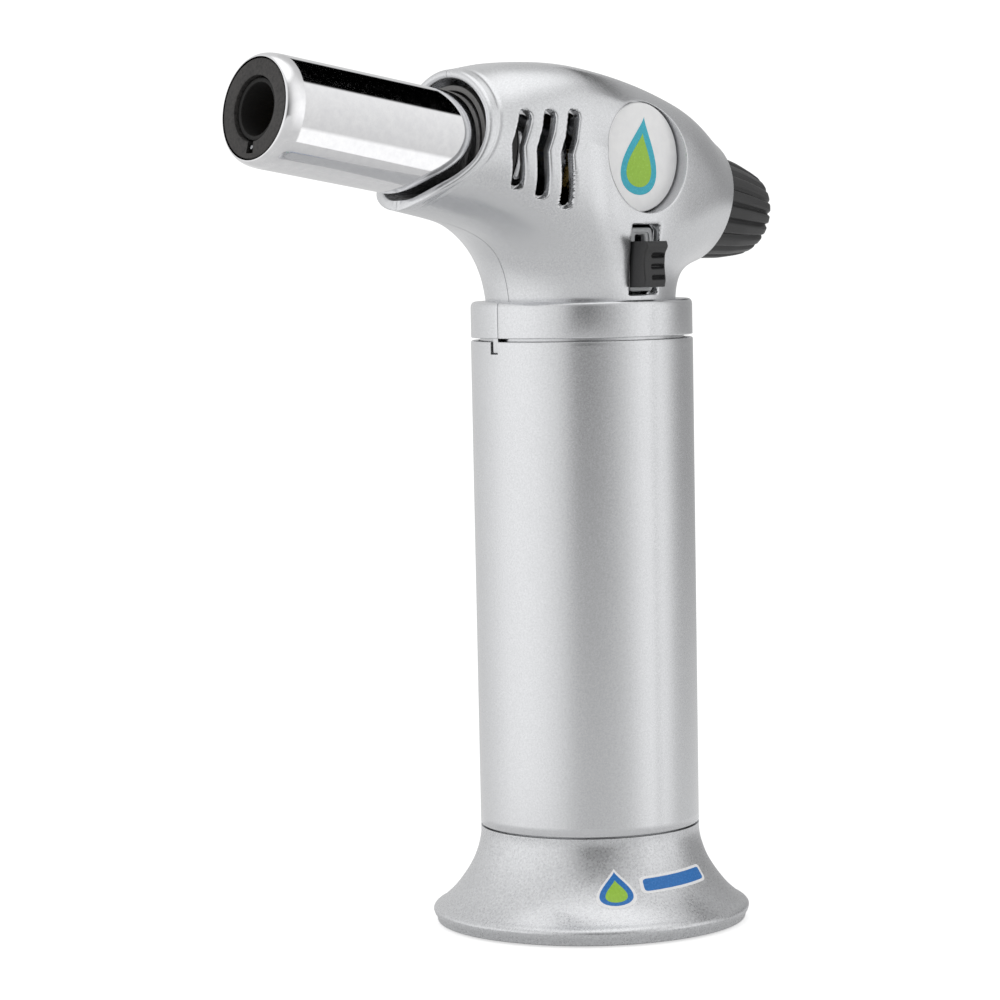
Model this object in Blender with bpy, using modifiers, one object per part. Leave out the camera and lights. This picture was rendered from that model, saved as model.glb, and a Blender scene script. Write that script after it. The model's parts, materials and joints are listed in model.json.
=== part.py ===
"""Butane torch for jewellery making.

A round gas tank stands on a flared base and carries a two-piece head. The head holds a chrome flame tube
that points along -X, tilted up by HEAD_TILT, and a fluted rear knob on the same tilted axis. Pressing the
knob pushes the igniter carriage, which fires the piezo and tips the valve lever. Turning it sets the flame.

World origin: centre of the bounding box at the base. Sizes are in millimetres and turned to metres by MM.
"""
import math

import bmesh
import bpy
import numpy as np
from mathutils import Vector

MM = 0.001

# Frame
AXIS_X = 18.75            # body axis, so that the whole torch is centred on the origin
HEAD_TILT = math.radians(9.0)
HEAD_Z = 160.0            # height where the tilted head axis crosses the body axis
GAP = 0.3                 # clearance between neighbouring solids

# Base and body
BASE_SEAM_Z = 21.0
BODY_TOP_Z = 125.4
BODY_R_TOP = 23.76
BODY_R_LOW = 23.53
BODY_WALL = 1.6
TANK_R = 20.9
TANK_WALL = 1.5
TANK_LOW_Z = 11.9
TANK_TOP_Z = 112.0

# Collar and spigot, turned parts of the head shells
COLLAR_R = 23.7
COLLAR_LOW_Z = 126.0
COLLAR_TOP_Z = 133.7
SPIGOT_R = 21.8
SPIGOT_LOW_Z = 121.6

# Head: half height above the axis, half height below it and half width, along the axis from the muzzle side
TOP_S = (-60, -40, -28, -16, -6, 6, 16, 26, 34, 44)
TOP_H = (12.5, 15.8, 19.4, 21.3, 21.3, 20.1, 18.2, 15.7, 12.9, 8.0)
LOW_S = (-60, -48, -36, -20, -6, 8, 18, 26, 34, 44)
LOW_H = (14.4, 14.7, 15.2, 16.2, 17.4, 18.5, 18.8, 17.1, 13.6, 8.5)
WIDE_S = TOP_S
WIDE_H = (13.8, 15.5, 18.0, 20.0, 21.0, 20.8, 19.3, 16.6, 13.2, 8.5)
SQUARENESS = 1.0          # how far the section's exponent rises above an ellipse's 2, beside the badge
NECK_R = 20.1
RIM_T = (-17, -13.5, -11, -8, -4, 0, 8, 17)
RIM_S = (-48.8, -48.2, -46.6, -43.8, -41.0, -39.6, -38.6, -39.4)
REAR_S = 33.0
HALF_GAP = 0.15           # each shell stops this far from the middle plane
WALL = 2.0
REAR_WALL = 1.0

# Vents, badges and lock slot
VENT_COUNT = 3
VENT_S = -31.9
VENT_PITCH = 5.5
VENT_HALF_W = 1.65
BADGE_S = 0.5
BADGE_T = 3.6
BADGE_R = 11.5
BADGE_SINK = 3.0
BADGE_THICK = 1.2
BADGE_LEAN = math.radians(3.2)
SURFACE_AT_BADGE = 21.15
SLOT_W = 8.0
SLOT_H = 14.6
SLOT_Z = 142.1
SLOT_Y = -20.1

# Flame tube
TUBE_R = 11.59
TUBE_IN_R = 10.4
MUZZLE_S = -86.6
SKIRT_R = 12.9            # belled rear end of the flame tube, behind the vents
SKIRT_WALL = 0.7
SKIRT_END_S = -15.2
BURNER_R = 6.3
BURNER_IN_R = 5.4

# Rear control
KNOB_T = -0.9
KNOB_R = 12.1
KNOB_END_S = 50.3
KNOB_FRONT_S = 30.0
FLUTES = 20
SPINDLE_R = 1.5
PIVOT = (-4.5, 139.3)      # lever pivot in body-frame X and Z
ALONG = (0, math.pi / 2, 0)   # turns a piece's own Z onto the head axis, rearward

# Colours (sRGB 0..1), roughness and metallic of each finish
FINISHES = {
    "silver_paint": ((0.76, 0.76, 0.77), 0.34, 0.75),
    "chrome": ((0.86, 0.86, 0.87), 0.07, 1.0),
    "dark_steel": ((0.23, 0.23, 0.24), 0.45, 0.9),
    "steel": ((0.62, 0.62, 0.63), 0.30, 1.0),
    "brass": ((0.78, 0.62, 0.32), 0.30, 1.0),
    "aluminium": ((0.72, 0.73, 0.74), 0.35, 1.0),
    "black_plastic": ((0.16, 0.16, 0.17), 0.55, 0.0),
    "grey_plastic": ((0.45, 0.46, 0.48), 0.50, 0.0),
    "clear_plastic": ((0.72, 0.73, 0.74), 0.20, 0.0),
    "white_plastic": ((0.90, 0.90, 0.91), 0.20, 0.0),
    "ceramic": ((0.91, 0.89, 0.85), 0.35, 0.0),
    "rubber": ((0.12, 0.12, 0.12), 0.75, 0.0),
    "felt": ((0.80, 0.78, 0.72), 0.90, 0.0),
    "red_wire": ((0.62, 0.10, 0.09), 0.45, 0.0),
}


# ---------------------------------------------------------------- scene, frames and materials

def clear_scene():
    for item in list(bpy.data.objects):
        bpy.data.objects.remove(item)


def new_collection(name):
    collection = bpy.data.collections.new(name)
    bpy.context.scene.collection.children.link(collection)
    return collection


clear_scene()
PARTS = new_collection("butane_torch")
CUTTERS = new_collection("cutters")


def new_empty(name, parent=None, location=(0, 0, 0), rotation=(0, 0, 0)):
    empty = bpy.data.objects.new(name, None)
    empty.empty_display_size = 0.01
    PARTS.objects.link(empty)
    empty.parent = parent
    empty.location = [MM * v for v in location]
    empty.rotation_euler = rotation
    return empty


def srgb_to_linear(value):
    return value / 12.92 if value <= 0.04045 else ((value + 0.055) / 1.055) ** 2.4


def finish(name):
    material = bpy.data.materials.get(name)
    if material is None:
        colour, roughness, metallic = FINISHES[name]
        material = bpy.data.materials.new(name)
        material.use_nodes = True
        shader = material.node_tree.nodes["Principled BSDF"]
        shader.inputs["Base Color"].default_value = [srgb_to_linear(c) for c in colour] + [1.0]
        shader.inputs["Roughness"].default_value = roughness
        shader.inputs["Metallic"].default_value = metallic
    return material


def add_part(name, data, look, parent, location=(0, 0, 0), rotation=(0, 0, 0)):
    """Link a named part, in a frame given by its parent empty, with its place in millimetres."""
    part = bpy.data.objects.new(name, data)
    PARTS.objects.link(part)
    data.materials.append(finish(look))
    part.parent = parent
    part.location = [MM * v for v in location]
    part.rotation_euler = rotation
    return part


def add_cutter(name, data, parent, location=(0, 0, 0), rotation=(0, 0, 0)):
    cutter = bpy.data.objects.new(name, data)
    CUTTERS.objects.link(cutter)
    cutter.parent = parent
    cutter.location = [MM * v for v in location]
    cutter.rotation_euler = rotation
    cutter.hide_render = True
    cutter.display_type = "WIRE"
    return cutter


def combine(part, other, operation="DIFFERENCE"):
    """Cut or join one solid with another, left as a live Boolean modifier."""
    modifier = part.modifiers.new(operation.lower() + "_" + other.name, "BOOLEAN")
    modifier.object = other
    modifier.operation = operation
    modifier.solver = "EXACT"
    return modifier


def round_shading(mesh, degrees=35):
    mesh.shade_smooth()
    mesh.set_sharp_from_angle(angle=math.radians(degrees))


# ---------------------------------------------------------------- shape makers

def signed_area(profile):
    area = 0.0
    for (r0, z0), (r1, z1) in zip(profile, profile[1:] + profile[:1]):
        area += r0 * z1 - r1 * z0
    return area / 2


def turned_mesh(name, profile, closed):
    """The half section of a turned piece, as edges in the XZ plane, outer side running down."""
    points = list(profile)
    if signed_area(points) > 0:
        points.reverse()
    mesh = bpy.data.meshes.new(name)
    edges = [(i, i + 1) for i in range(len(points) - 1)]
    if closed:
        edges.append((len(points) - 1, 0))
    mesh.from_pydata([(r * MM, 0, z * MM) for r, z in points], edges, [])
    return mesh


def turned(name, profile, look, parent, steps=32, closed=None, **place):
    """A piece turned about its own Z; the profile is closed unless both its ends lie on the axis."""
    if closed is None:
        closed = not (profile[0][0] == 0 and profile[-1][0] == 0)
    part = add_part(name, turned_mesh(name, profile, closed), look, parent, **place)
    screw = part.modifiers.new("turn", "SCREW")
    screw.axis = "Z"
    screw.steps = steps
    screw.render_steps = steps
    screw.use_merge_vertices = True
    screw.merge_threshold = 0.00001
    screw.use_smooth_shade = True
    return part


def block_mesh(name, size, centre=(0, 0, 0)):
    """A box mesh with its centre moved in its own frame."""
    mesh = bpy.data.meshes.new(name)
    shape = bmesh.new()
    bmesh.ops.create_cube(shape, size=1.0)
    for vert in shape.verts:
        vert.co = [MM * (vert.co[i] * size[i] + centre[i]) for i in range(3)]
    shape.to_mesh(mesh)
    shape.free()
    return mesh


def block(name, size, look, parent, bevel=0.0, centre=(0, 0, 0), **place):
    part = add_part(name, block_mesh(name, size, centre), look, parent, **place)
    if bevel:
        edge = part.modifiers.new("edge", "BEVEL")
        edge.width = bevel * MM
        edge.segments = 2
    return part


def rods_mesh(name, rods, sides=16):
    """Several straight round rods in one mesh, each (start, end, radius) in millimetres."""
    mesh = bpy.data.meshes.new(name)
    shape = bmesh.new()
    for start, end, radius in rods:
        start = np.array(start, float)
        along = np.array(end, float) - start
        length = np.linalg.norm(along)
        made = bmesh.ops.create_cone(shape, cap_ends=True, segments=sides, radius1=radius * MM,
                                     radius2=radius * MM, depth=length * MM)
        turn = turn_towards(along / length)
        centre = start + along / 2
        for vert in made["verts"]:
            vert.co = turn @ vert.co
            vert.co.x += centre[0] * MM
            vert.co.y += centre[1] * MM
            vert.co.z += centre[2] * MM
    shape.to_mesh(mesh)
    shape.free()
    return mesh


def turn_towards(direction):
    """Rotation that takes +Z to the given unit direction."""
    return Vector((0, 0, 1)).rotation_difference(Vector(direction)).to_matrix()


def prism_mesh(name, outline, low, high):
    """A flat outline in the XZ plane, pushed through from Y = low to Y = high."""
    mesh = bpy.data.meshes.new(name)
    shape = bmesh.new()
    face = shape.faces.new([shape.verts.new((x * MM, low * MM, z * MM)) for x, z in outline])
    pushed = bmesh.ops.extrude_face_region(shape, geom=[face])
    for item in pushed["geom"]:
        if isinstance(item, bmesh.types.BMVert):
            item.co.y = high * MM
    bmesh.ops.recalc_face_normals(shape, faces=shape.faces)
    shape.to_mesh(mesh)
    shape.free()
    return mesh


def smooth_route(points, per_span):
    """Catmull-Rom curve through the route's own points."""
    route = np.array([points[0]] + list(points) + [points[-1]], float)
    out = []
    for i in range(1, len(route) - 2):
        p0, p1, p2, p3 = route[i - 1:i + 3]
        for k in range(per_span):
            t = k / per_span
            out.append(0.5 * (2 * p1 + (p2 - p0) * t + (2 * p0 - 5 * p1 + 4 * p2 - p3) * t * t
                              + (3 * p1 - p0 - 3 * p2 + p3) * t ** 3))
    out.append(route[-2])
    return out


def wire(name, points, radius, look, parent, **place):
    """A round wire or hose: a poly curve with a bevel and closed ends."""
    curve = bpy.data.curves.new(name, "CURVE")
    curve.dimensions = "3D"
    curve.bevel_depth = radius * MM
    curve.bevel_resolution = 2
    curve.use_fill_caps = True
    spline = curve.splines.new("POLY")
    spline.points.add(len(points) - 1)
    for target, point in zip(spline.points, points):
        target.co = (point[0] * MM, point[1] * MM, point[2] * MM, 1)
    return add_part(name, curve, look, parent, **place)


def coil(radius, low, high, turns, per_turn=9):
    """Points of a helix about Z."""
    count = int(turns * per_turn)
    angle = np.arange(count + 1) / per_turn * 2 * math.pi
    height = low + (high - low) * np.arange(count + 1) / count
    return np.column_stack([radius * np.cos(angle), radius * np.sin(angle), height])


# ---------------------------------------------------------------- the head's surface

def through(xs, ys, x):
    """Smooth cubic curve through the given points, flat beyond its ends."""
    xs = np.array(xs, float)
    ys = np.array(ys, float)
    slope = np.gradient(ys, xs)
    x = np.clip(x, xs[0], xs[-1])
    i = np.clip(np.searchsorted(xs, x, side="right") - 1, 0, len(xs) - 2)
    h = xs[i + 1] - xs[i]
    t = (x - xs[i]) / h
    return ((2 * t ** 3 - 3 * t ** 2 + 1) * ys[i] + (t ** 3 - 2 * t ** 2 + t) * h * slope[i]
            + (3 * t ** 2 - 2 * t ** 3) * ys[i + 1] + (t ** 3 - t ** 2) * h * slope[i + 1])


def ease(low, high, x):
    t = np.clip((x - low) / (high - low), 0, 1)
    return t * t * (3 - 2 * t)


def to_axis(x, z):
    """Body frame to the head axis: distance along it (rearward) and height above it."""
    c, s = math.cos(HEAD_TILT), math.sin(HEAD_TILT)
    return x * c - (z - HEAD_Z) * s, x * s + (z - HEAD_Z) * c


def from_axis(s_along, t_up):
    c, s = math.cos(HEAD_TILT), math.sin(HEAD_TILT)
    return s_along * c + t_up * s, HEAD_Z - s_along * s + t_up * c


def head_field(x, y, z):
    """Below zero inside the head: a long rounded pod on the tilted axis, blended into an upright neck."""
    s, t = to_axis(x, z)
    top, low, wide = through(TOP_S, TOP_H, s), through(LOW_S, LOW_H, s), through(WIDE_S, WIDE_H, s)
    half = low + (top - low) * ease(-6, 6, t)
    n = 2 + SQUARENESS * ease(-38, -14, s) * (1 - ease(14, 32, s))
    pod = ((np.abs(y / wide) ** n + np.abs(t / half) ** n) ** (1 / n) - 1) * np.minimum(wide, half)
    neck_y = NECK_R - 4.0 * ease(142, 165, z)
    neck = (np.sqrt((x / NECK_R) ** 2 + (y / neck_y) ** 2) - 1) * neck_y
    neck = np.maximum(neck, z - 158.0)
    blend = 9 + np.where(x < 0, 13 * ease(0, 16, -x), ease(0, 16, x))
    near = np.maximum(blend - np.abs(pod - neck), 0) / blend
    return np.minimum(pod, neck) - near ** 3 * blend / 6


def wall_at(s, t):
    """Wall thickness: thinner at the rear opening, thicker behind the badge."""
    wall = WALL + (REAR_WALL - WALL) * ease(22, REAR_S, s)
    reach = np.hypot(s - BADGE_S, t - BADGE_T)
    return wall + 4.2 * (1 - ease(BADGE_R + 1.1, BADGE_R + 3.6, reach))


def shell_rays(a, v, seam_v):
    """Point at radius r for each grid place: straight out of the neck low down, out of the axis above."""
    swing = math.pi * (1 + a)
    low_angle = -math.pi / 2 + math.radians(66) * np.sin(math.pi * a) ** 0.8
    share = np.clip((v - seam_v) / (1 - seam_v), 0, 1)
    angle = low_angle + (math.pi / 2 - low_angle) * share
    mix = ease(0, seam_v, v)

    def at(r):
        up = r * np.sin(angle)
        along = through(RIM_T, RIM_S, up) * (1 - a) + REAR_S * a
        px, pz = from_axis(along, up)
        return (r * np.cos(swing) * (1 - mix) + px * mix, r * np.sin(swing) * (1 - mix)
                - r * np.cos(angle) * mix, COLLAR_TOP_Z * (1 - mix) + pz * mix)
    return at


def first_hit(at, shape, reach=60.0, marches=240):
    """March outwards to the head's surface, then halve the last step."""
    low = np.zeros(shape)
    found = np.zeros(shape, bool)
    for i in range(1, marches + 1):
        r = np.full(shape, reach * i / marches)
        outside = head_field(*at(r)) > 0
        found |= outside
        low = np.where(found, low, r)
    high = low + reach / marches
    for _ in range(30):
        middle = (low + high) / 2
        outside = head_field(*at(middle)) > 0
        high = np.where(outside, middle, high)
        low = np.where(outside, low, middle)
    return np.stack(at(high), -1)


def inward(points):
    """The same points moved in by the wall thickness, along the surface normal."""
    x, y, z = points[..., 0], points[..., 1], points[..., 2]
    e = 0.05
    grad = np.stack([head_field(x + e, y, z) - head_field(x - e, y, z),
                     head_field(x, y + e, z) - head_field(x, y - e, z),
                     head_field(x, y, z + e) - head_field(x, y, z - e)], -1)
    grad /= np.linalg.norm(grad, axis=-1, keepdims=True)
    return points - grad * wall_at(*to_axis(x, z))[..., None]


def shell_mesh(name, side, columns=22, neck_rows=7, pod_rows=11):
    """Half of the head: outer skin, inner skin, collar and spigot, closed at the middle plane."""
    seam_v = 0.42
    a = np.linspace(0, 1, columns + 1)[None, :]
    rows = np.concatenate([np.linspace(0, seam_v, neck_rows + 1)[:-1], np.linspace(seam_v, 1, pod_rows + 1)])
    v = rows[:, None] * np.ones_like(a)
    a = a * np.ones_like(v)
    outer = first_hit(shell_rays(a, v, seam_v), a.shape)
    inner = inward(outer)
    inner[0, :, 2] = COLLAR_TOP_Z
    swing = math.pi * (1 + a[0])
    turned_rows = [(22.7, COLLAR_TOP_Z), (23.4, COLLAR_TOP_Z - 0.4), (COLLAR_R, COLLAR_TOP_Z - 1.3),
                   (COLLAR_R, COLLAR_LOW_Z), (SPIGOT_R, COLLAR_LOW_Z), (SPIGOT_R, SPIGOT_LOW_Z),
                   (SPIGOT_R - 2, SPIGOT_LOW_Z), (SPIGOT_R - 2.6, COLLAR_TOP_Z - 4)]
    ring = [np.stack([r * np.cos(swing), r * np.sin(swing), np.full_like(swing, z)], -1)
            for r, z in turned_rows]
    band = np.concatenate([outer[::-1], np.array(ring), inner])
    edge = [0, columns]
    band[:, edge, 1] = np.minimum(band[:, edge, 1], -HALF_GAP)
    neck_edge = list(range(pod_rows + 1, len(band) - pod_rows - 1))
    for column in edge:
        band[neck_edge, column, 1] = -HALF_GAP
    band[0, :, 1] = band[-1, :, 1] = -HALF_GAP
    mesh = bpy.data.meshes.new(name)
    shape = bmesh.new()
    grid = [[shape.verts.new([MM * c for c in point]) for point in row] for row in band]
    for low_row, high_row in zip(grid, grid[1:]):
        for j in range(columns):
            shape.faces.new((low_row[j], low_row[j + 1], high_row[j + 1], high_row[j]))
    for j in range(columns):
        shape.faces.new((grid[0][j], grid[-1][j], grid[-1][j + 1], grid[0][j + 1]))
    skin_rows = neck_rows + pod_rows + 1
    for j in edge:
        for i in range(skin_rows - 1):
            shape.faces.new((grid[i][j], grid[i + 1][j], grid[-2 - i][j], grid[-1 - i][j]))
        shape.faces.new([grid[i][j] for i in range(skin_rows - 1, len(grid) - skin_rows + 1)])
    if side > 0:
        for vert in shape.verts:
            vert.co.y = -vert.co.y
    bmesh.ops.recalc_face_normals(shape, faces=shape.faces)
    shape.to_mesh(mesh)
    shape.free()
    return mesh


def vent_outline(index, arc=5):
    """A slot with round ends and a small kink just above the middle, in head-axis (s, t)."""
    s0 = VENT_S + VENT_PITCH * index
    line = [(s0 + 1.4, 8.8 + 0.9 * index), (s0 - 0.2, 0.9), (s0 + 0.2, -1.5), (s0 + 1.4, -8.2 - 1.2 * index)]
    w = VENT_HALF_W
    start = [(line[0][0] + w * math.cos(q), line[0][1] - w + w * math.sin(q))
             for q in np.linspace(0, math.pi, arc)]
    end = [(line[3][0] - w * math.cos(q), line[3][1] + w - w * math.sin(q))
           for q in np.linspace(0, math.pi, arc)]
    left = [(s - w, t) for s, t in line[1:3]]
    right = [(s + w, t) for s, t in line[2:0:-1]]
    return start + left + end + right


def vents_mesh(side):
    """The three vent slots of one side as separate prisms in one cutter."""
    mesh = bpy.data.meshes.new("vents")
    shape = bmesh.new()
    for index in range(VENT_COUNT):
        single = prism_mesh("vent", vent_outline(index), side * 10, side * 30)
        shape.from_mesh(single)
        bpy.data.meshes.remove(single)
    shape.to_mesh(mesh)
    shape.free()
    return mesh


# ---------------------------------------------------------------- assemblies

SCREW_PLACES = ((13.5, 139.0, 9.3), (-13.5, 139.0, 9.3), from_axis(13.2, 12.0) + (11.0,))


def make_head_shells(body, head):
    for side, name in ((-1, "head_shell_left"), (1, "head_shell_right")):
        shell = add_part(name, shell_mesh(name, side), "silver_paint", body)
        round_shading(shell.data)
        combine(shell, add_cutter(name + "_vents", vents_mesh(side), head))
        depth = SURFACE_AT_BADGE - BADGE_SINK - BADGE_THICK - GAP
        normal = (math.sin(BADGE_LEAN), side * math.cos(BADGE_LEAN), 0)
        floor = np.array([BADGE_S, side * depth, BADGE_T])
        recess = rods_mesh("recess", [(floor, floor + 12 * np.array(normal), BADGE_R + 0.25)], sides=48)
        combine(shell, add_cutter(name + "_badge_recess", recess, head))
        boss = [((x, side * HALF_GAP, z), (x, side * reach, z), 4.2) for x, z, reach in SCREW_PLACES]
        combine(shell, add_cutter(name + "_bosses", rods_mesh("bosses", boss), body), "UNION")
        if side < 0:
            pilot = [((x, 1, z), (x, -7.6, z), 1.6) for x, z, reach in SCREW_PLACES]
            combine(shell, add_cutter(name + "_pilots", rods_mesh("pilots", pilot), body))
            slot = block_mesh("lock_slot", (SLOT_W, 15, SLOT_H), (0, SLOT_Y - 0.4, SLOT_Z))
            combine(shell, add_cutter(name + "_lock_slot", slot, body))
        else:
            shank = [((x, -1, z), (x, 12, z), 1.6) for x, z, reach in SCREW_PLACES]
            mouth = [((x, 8, z), (x, 30, z), 2.9) for x, z, reach in SCREW_PLACES]
            combine(shell, add_cutter(name + "_shanks", rods_mesh("shanks", shank), body))
            combine(shell, add_cutter(name + "_mouths", rods_mesh("mouths", mouth), body))
            tab = block_mesh("tab", (2.0, 1.7, 3.6), (-22.5, 1.1, 124.8))
            combine(shell, add_cutter(name + "_tab", tab, body), "UNION")


def make_shell_screws(body):
    profile = [(0, 10.0), (2.2, 10.0), (2.6, 9.6), (2.6, 8.3), (1.3, 8.3), (1.3, -7.0), (0, -7.3)]
    for index, (x, z, reach) in enumerate(SCREW_PLACES, 1):
        turned(f"shell_screw_{index}", profile, "steel", body, steps=16, location=(x, 0, z),
               rotation=(-math.pi / 2, 0, 0))


def make_badges(head):
    """Slightly domed round plaques, one in each side's recess."""
    back = SURFACE_AT_BADGE - BADGE_SINK - BADGE_THICK
    profile = [(0, BADGE_THICK), (6, BADGE_THICK - 0.05), (10.8, BADGE_THICK - 0.2), (BADGE_R, 0.7),
               (BADGE_R, 0), (0, 0)]
    for side, name in ((-1, "badge_left"), (1, "badge_right")):
        turned(name, profile, "white_plastic", head, steps=32, location=(BADGE_S, side * back, BADGE_T),
               rotation=(-side * math.pi / 2, 0, side * -BADGE_LEAN))


def make_lock(body):
    """A sliding thumb lock in a clear track that fills the slot of the left shell."""
    face = SLOT_Y + 0.9
    track = block("lock_track", (SLOT_W - 0.6, 1.6, SLOT_H - 0.6), "clear_plastic", body,
                  location=(0, face + 0.8, SLOT_Z), bevel=0.3)
    window = block_mesh("lock_window", (2.8, 6, 10.4))
    combine(track, add_cutter("lock_window", window, body, location=(0, face, SLOT_Z)))
    low = 136.3
    high = 145.9
    outline = [(face - GAP, low), (face - GAP, high), (-24.7, high), (-25.1, high - 0.6), (-25.0, high - 1.6)]
    for groove in range(3):
        top = high - 2.6 - 2.3 * groove
        outline += [(-24.3, top), (-23.6, top - 0.5), (-23.6, top - 1.0), (-24.3, top - 1.4)]
    outline += [(-24.2, low + 0.6), (-23.8, low)]
    slider = add_part("lock_slider", prism_mesh("lock_slider", outline, -2.6, 3.6), "black_plastic", body,
                      rotation=(0, 0, math.pi / 2))
    neck = block_mesh("lock_neck", (2.2, 4.2, 5.6), (0, face + 1.3, 141.1))
    foot = block_mesh("lock_foot", (5.0, 1.2, 7.6), (0, face + 2.9, 141.1))
    combine(slider, add_cutter("lock_neck", neck, body), "UNION")
    combine(slider, add_cutter("lock_foot", foot, body), "UNION")


def make_base(body):
    flare = [(21.85, 26.0), (21.85, BASE_SEAM_Z), (BODY_R_LOW, BASE_SEAM_Z), (23.6, 19.0), (24.1, 16.5),
             (25.3, 13.3), (27.2, 10.1), (29.7, 6.9), (32.1, 4.7), (33.6, 3.7), (34.1, 2.9), (33.9, 2.0),
             (33.5, 1.5), (33.3, 0.3), (32.2, 0.3), (32.2, 1.5), (29.3, 1.5), (29.3, 4.2), (26.5, 6.4),
             (24.0, 9.3), (15.0, 9.3), (15.0, 11.6), (21.2, 11.6), (21.2, 26.0)]
    foot = turned("base_foot", flare, "silver_paint", body, steps=40)
    places = [(20.5 * math.cos(q), 20.5 * math.sin(q)) for q in np.radians([90, 210, 330])]
    boss = rods_mesh("base_bosses", [((x, y, 3.8), (x, y, 10.0), 3.2) for x, y in places])
    combine(foot, add_cutter("base_bosses", boss, body), "UNION")
    pilot = rods_mesh("base_pilots", [((x, y, 3.0), (x, y, 8.8), 1.5) for x, y in places], sides=12)
    combine(foot, add_cutter("base_pilots", pilot, body))
    plate = turned("base_plate", [(9.0, 1.5), (9.0, 3.5), (29.0, 3.5), (29.0, 1.5)], "black_plastic", body,
                   steps=32)
    holes = rods_mesh("plate_holes", [((x, y, 1.0), (x, y, 4.0), 1.5) for x, y in places], sides=12)
    sinks = rods_mesh("plate_sinks", [((x, y, 1.0), (x, y, 2.7), 3.0) for x, y in places])
    combine(plate, add_cutter("plate_holes", holes, body))
    combine(plate, add_cutter("plate_sinks", sinks, body))
    turned("base_grip_ring", [(29.6, 1.2), (31.9, 1.2), (31.9, 0), (29.6, 0)], "rubber", body,
           steps=40)
    screw = [(0, 8.2), (1.0, 7.8), (1.2, 7.0), (1.2, 2.4), (2.6, 2.4), (2.6, 1.5), (0, 1.5)]
    for index, (x, y) in enumerate(places, 1):
        turned(f"base_screw_{index}", screw, "steel", body, steps=12, location=(x, y, 0))


def make_tank(body):
    top_in = BODY_R_TOP - BODY_WALL
    sleeve = turned("body_sleeve", [(BODY_R_TOP, BODY_TOP_Z), (BODY_R_LOW, BASE_SEAM_Z + GAP),
                                    (top_in, BASE_SEAM_Z + GAP), (top_in, BODY_TOP_Z)],
                    "silver_paint", body, steps=48)
    notch = block_mesh("sleeve_notch", (6.0, 2.4, 4.0), (-23.5, 1.1, BODY_TOP_Z - 0.7))
    combine(sleeve, add_cutter("sleeve_notch", notch, body))
    inside = TANK_R - TANK_WALL
    floor = TANK_LOW_Z + 2.1
    turned("tank_cup", [(TANK_R, TANK_TOP_Z), (TANK_R, TANK_LOW_Z), (4.6, TANK_LOW_Z), (4.6, floor),
                        (inside, floor), (inside, TANK_TOP_Z)], "aluminium", body, steps=32)
    turned("tank_lid", [(4.7, 112.3), (4.7, 115.5), (TANK_R, 115.5), (TANK_R, 112.3)], "aluminium", body,
           steps=32)
    turned("gas_wick", [(0, 17.0), (2.5, 17.0), (2.5, 106.0), (0, 106.0)], "felt", body, steps=12)
    turned("refill_valve_body", [(0, 16.2), (6.2, 16.2), (6.2, 14.4), (4.2, 14.4), (4.2, 6.6), (3.7, 6.1),
                                 (1.7, 6.1), (1.7, 12.6), (0, 12.6)], "brass", body, steps=20)
    turned("refill_valve_stem", [(0, 8.8), (1.4, 8.8), (1.4, 6.9), (0.9, 5.5), (0, 5.5)], "brass", body,
           steps=12)
    wire("refill_valve_spring", coil(1.0, 9.3, 12.1, 3, 7), 0.16, "steel", body)


def make_outlet(body):
    valve = turned("outlet_valve_body", [(0, 110.0), (1.8, 110.0), (1.8, 126.0), (3.6, 126.0), (3.6, 117.6),
                                         (6.5, 117.6), (6.5, 115.8), (4.3, 115.8), (4.3, 107.0), (0, 107.0)],
                   "brass", body, steps=20)
    barb = rods_mesh("outlet_barb", [((2.7, 0, 123.0), (9.5, 0, 123.0), 1.1)], sides=12)
    combine(valve, add_cutter("outlet_barb", barb, body), "UNION")
    turned("outlet_valve_stem", [(0, 141.9), (1.2, 142.0), (2.8, 141.7), (2.8, 140.7), (1.4, 140.7),
                                 (1.4, 111.0), (0, 111.0)], "steel", body, steps=16)
    bracket = block("valve_bracket", (16.0, 18.0, 1.5), "steel", body, location=(0, 2.8, 118.65))
    for y in (-5.3, 10.9):
        ear = block_mesh("bracket_ear", (6.0, 1.8, 24.0), (-4.5, y - 2.8, 11.4))
        combine(bracket, add_cutter(f"bracket_ear_{y:.0f}", ear, body, location=(0, 2.8, 118.65)), "UNION")
    hole = rods_mesh("bracket_holes", [((0, 0, 117), (0, 0, 121), 4.0)], sides=20)
    combine(bracket, add_cutter("bracket_holes", hole, body))
    pivot = rods_mesh("bracket_pivot", [((PIVOT[0], -8, PIVOT[1]), (PIVOT[0], 14, PIVOT[1]), 1.25)], sides=12)
    combine(bracket, add_cutter("bracket_pivot", pivot, body))
    turned("lever_pin", [(0, 13.2), (0.95, 13.2), (0.95, -6.8), (0, -6.8)], "steel", body, steps=12,
           location=(PIVOT[0], 0, PIVOT[1]), rotation=(-math.pi / 2, 0, 0))


def make_lever(body):
    """Bell crank: the fork lifts the outlet stem when the upper arm is pushed forward."""
    pivot = new_empty("valve_lever_axis", body, (PIVOT[0], 0, PIVOT[1]))
    hub = rods_mesh("valve_lever", [((0, -4.2, 0), (0, 9.6, 0), 1.9)], sides=20)
    lever = add_part("valve_lever", hub, "steel", pivot)
    for y in (-3.0, 3.0):
        prong = block_mesh("lever_prong", (5.0, 1.8, 2.0), (3.0, y, -0.1))
        combine(lever, add_cutter(f"lever_prong_{y:.0f}", prong, pivot), "UNION")
    arm = block_mesh("lever_arm", (2.4, 2.6, 18.0), (0, 8.2, 9.0))
    combine(lever, add_cutter("lever_arm", arm, pivot), "UNION")
    bore = rods_mesh("lever_bore", [((0, -12, 0), (0, 12, 0), 1.25)], sides=12)
    combine(lever, add_cutter("lever_bore", bore, pivot))


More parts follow.
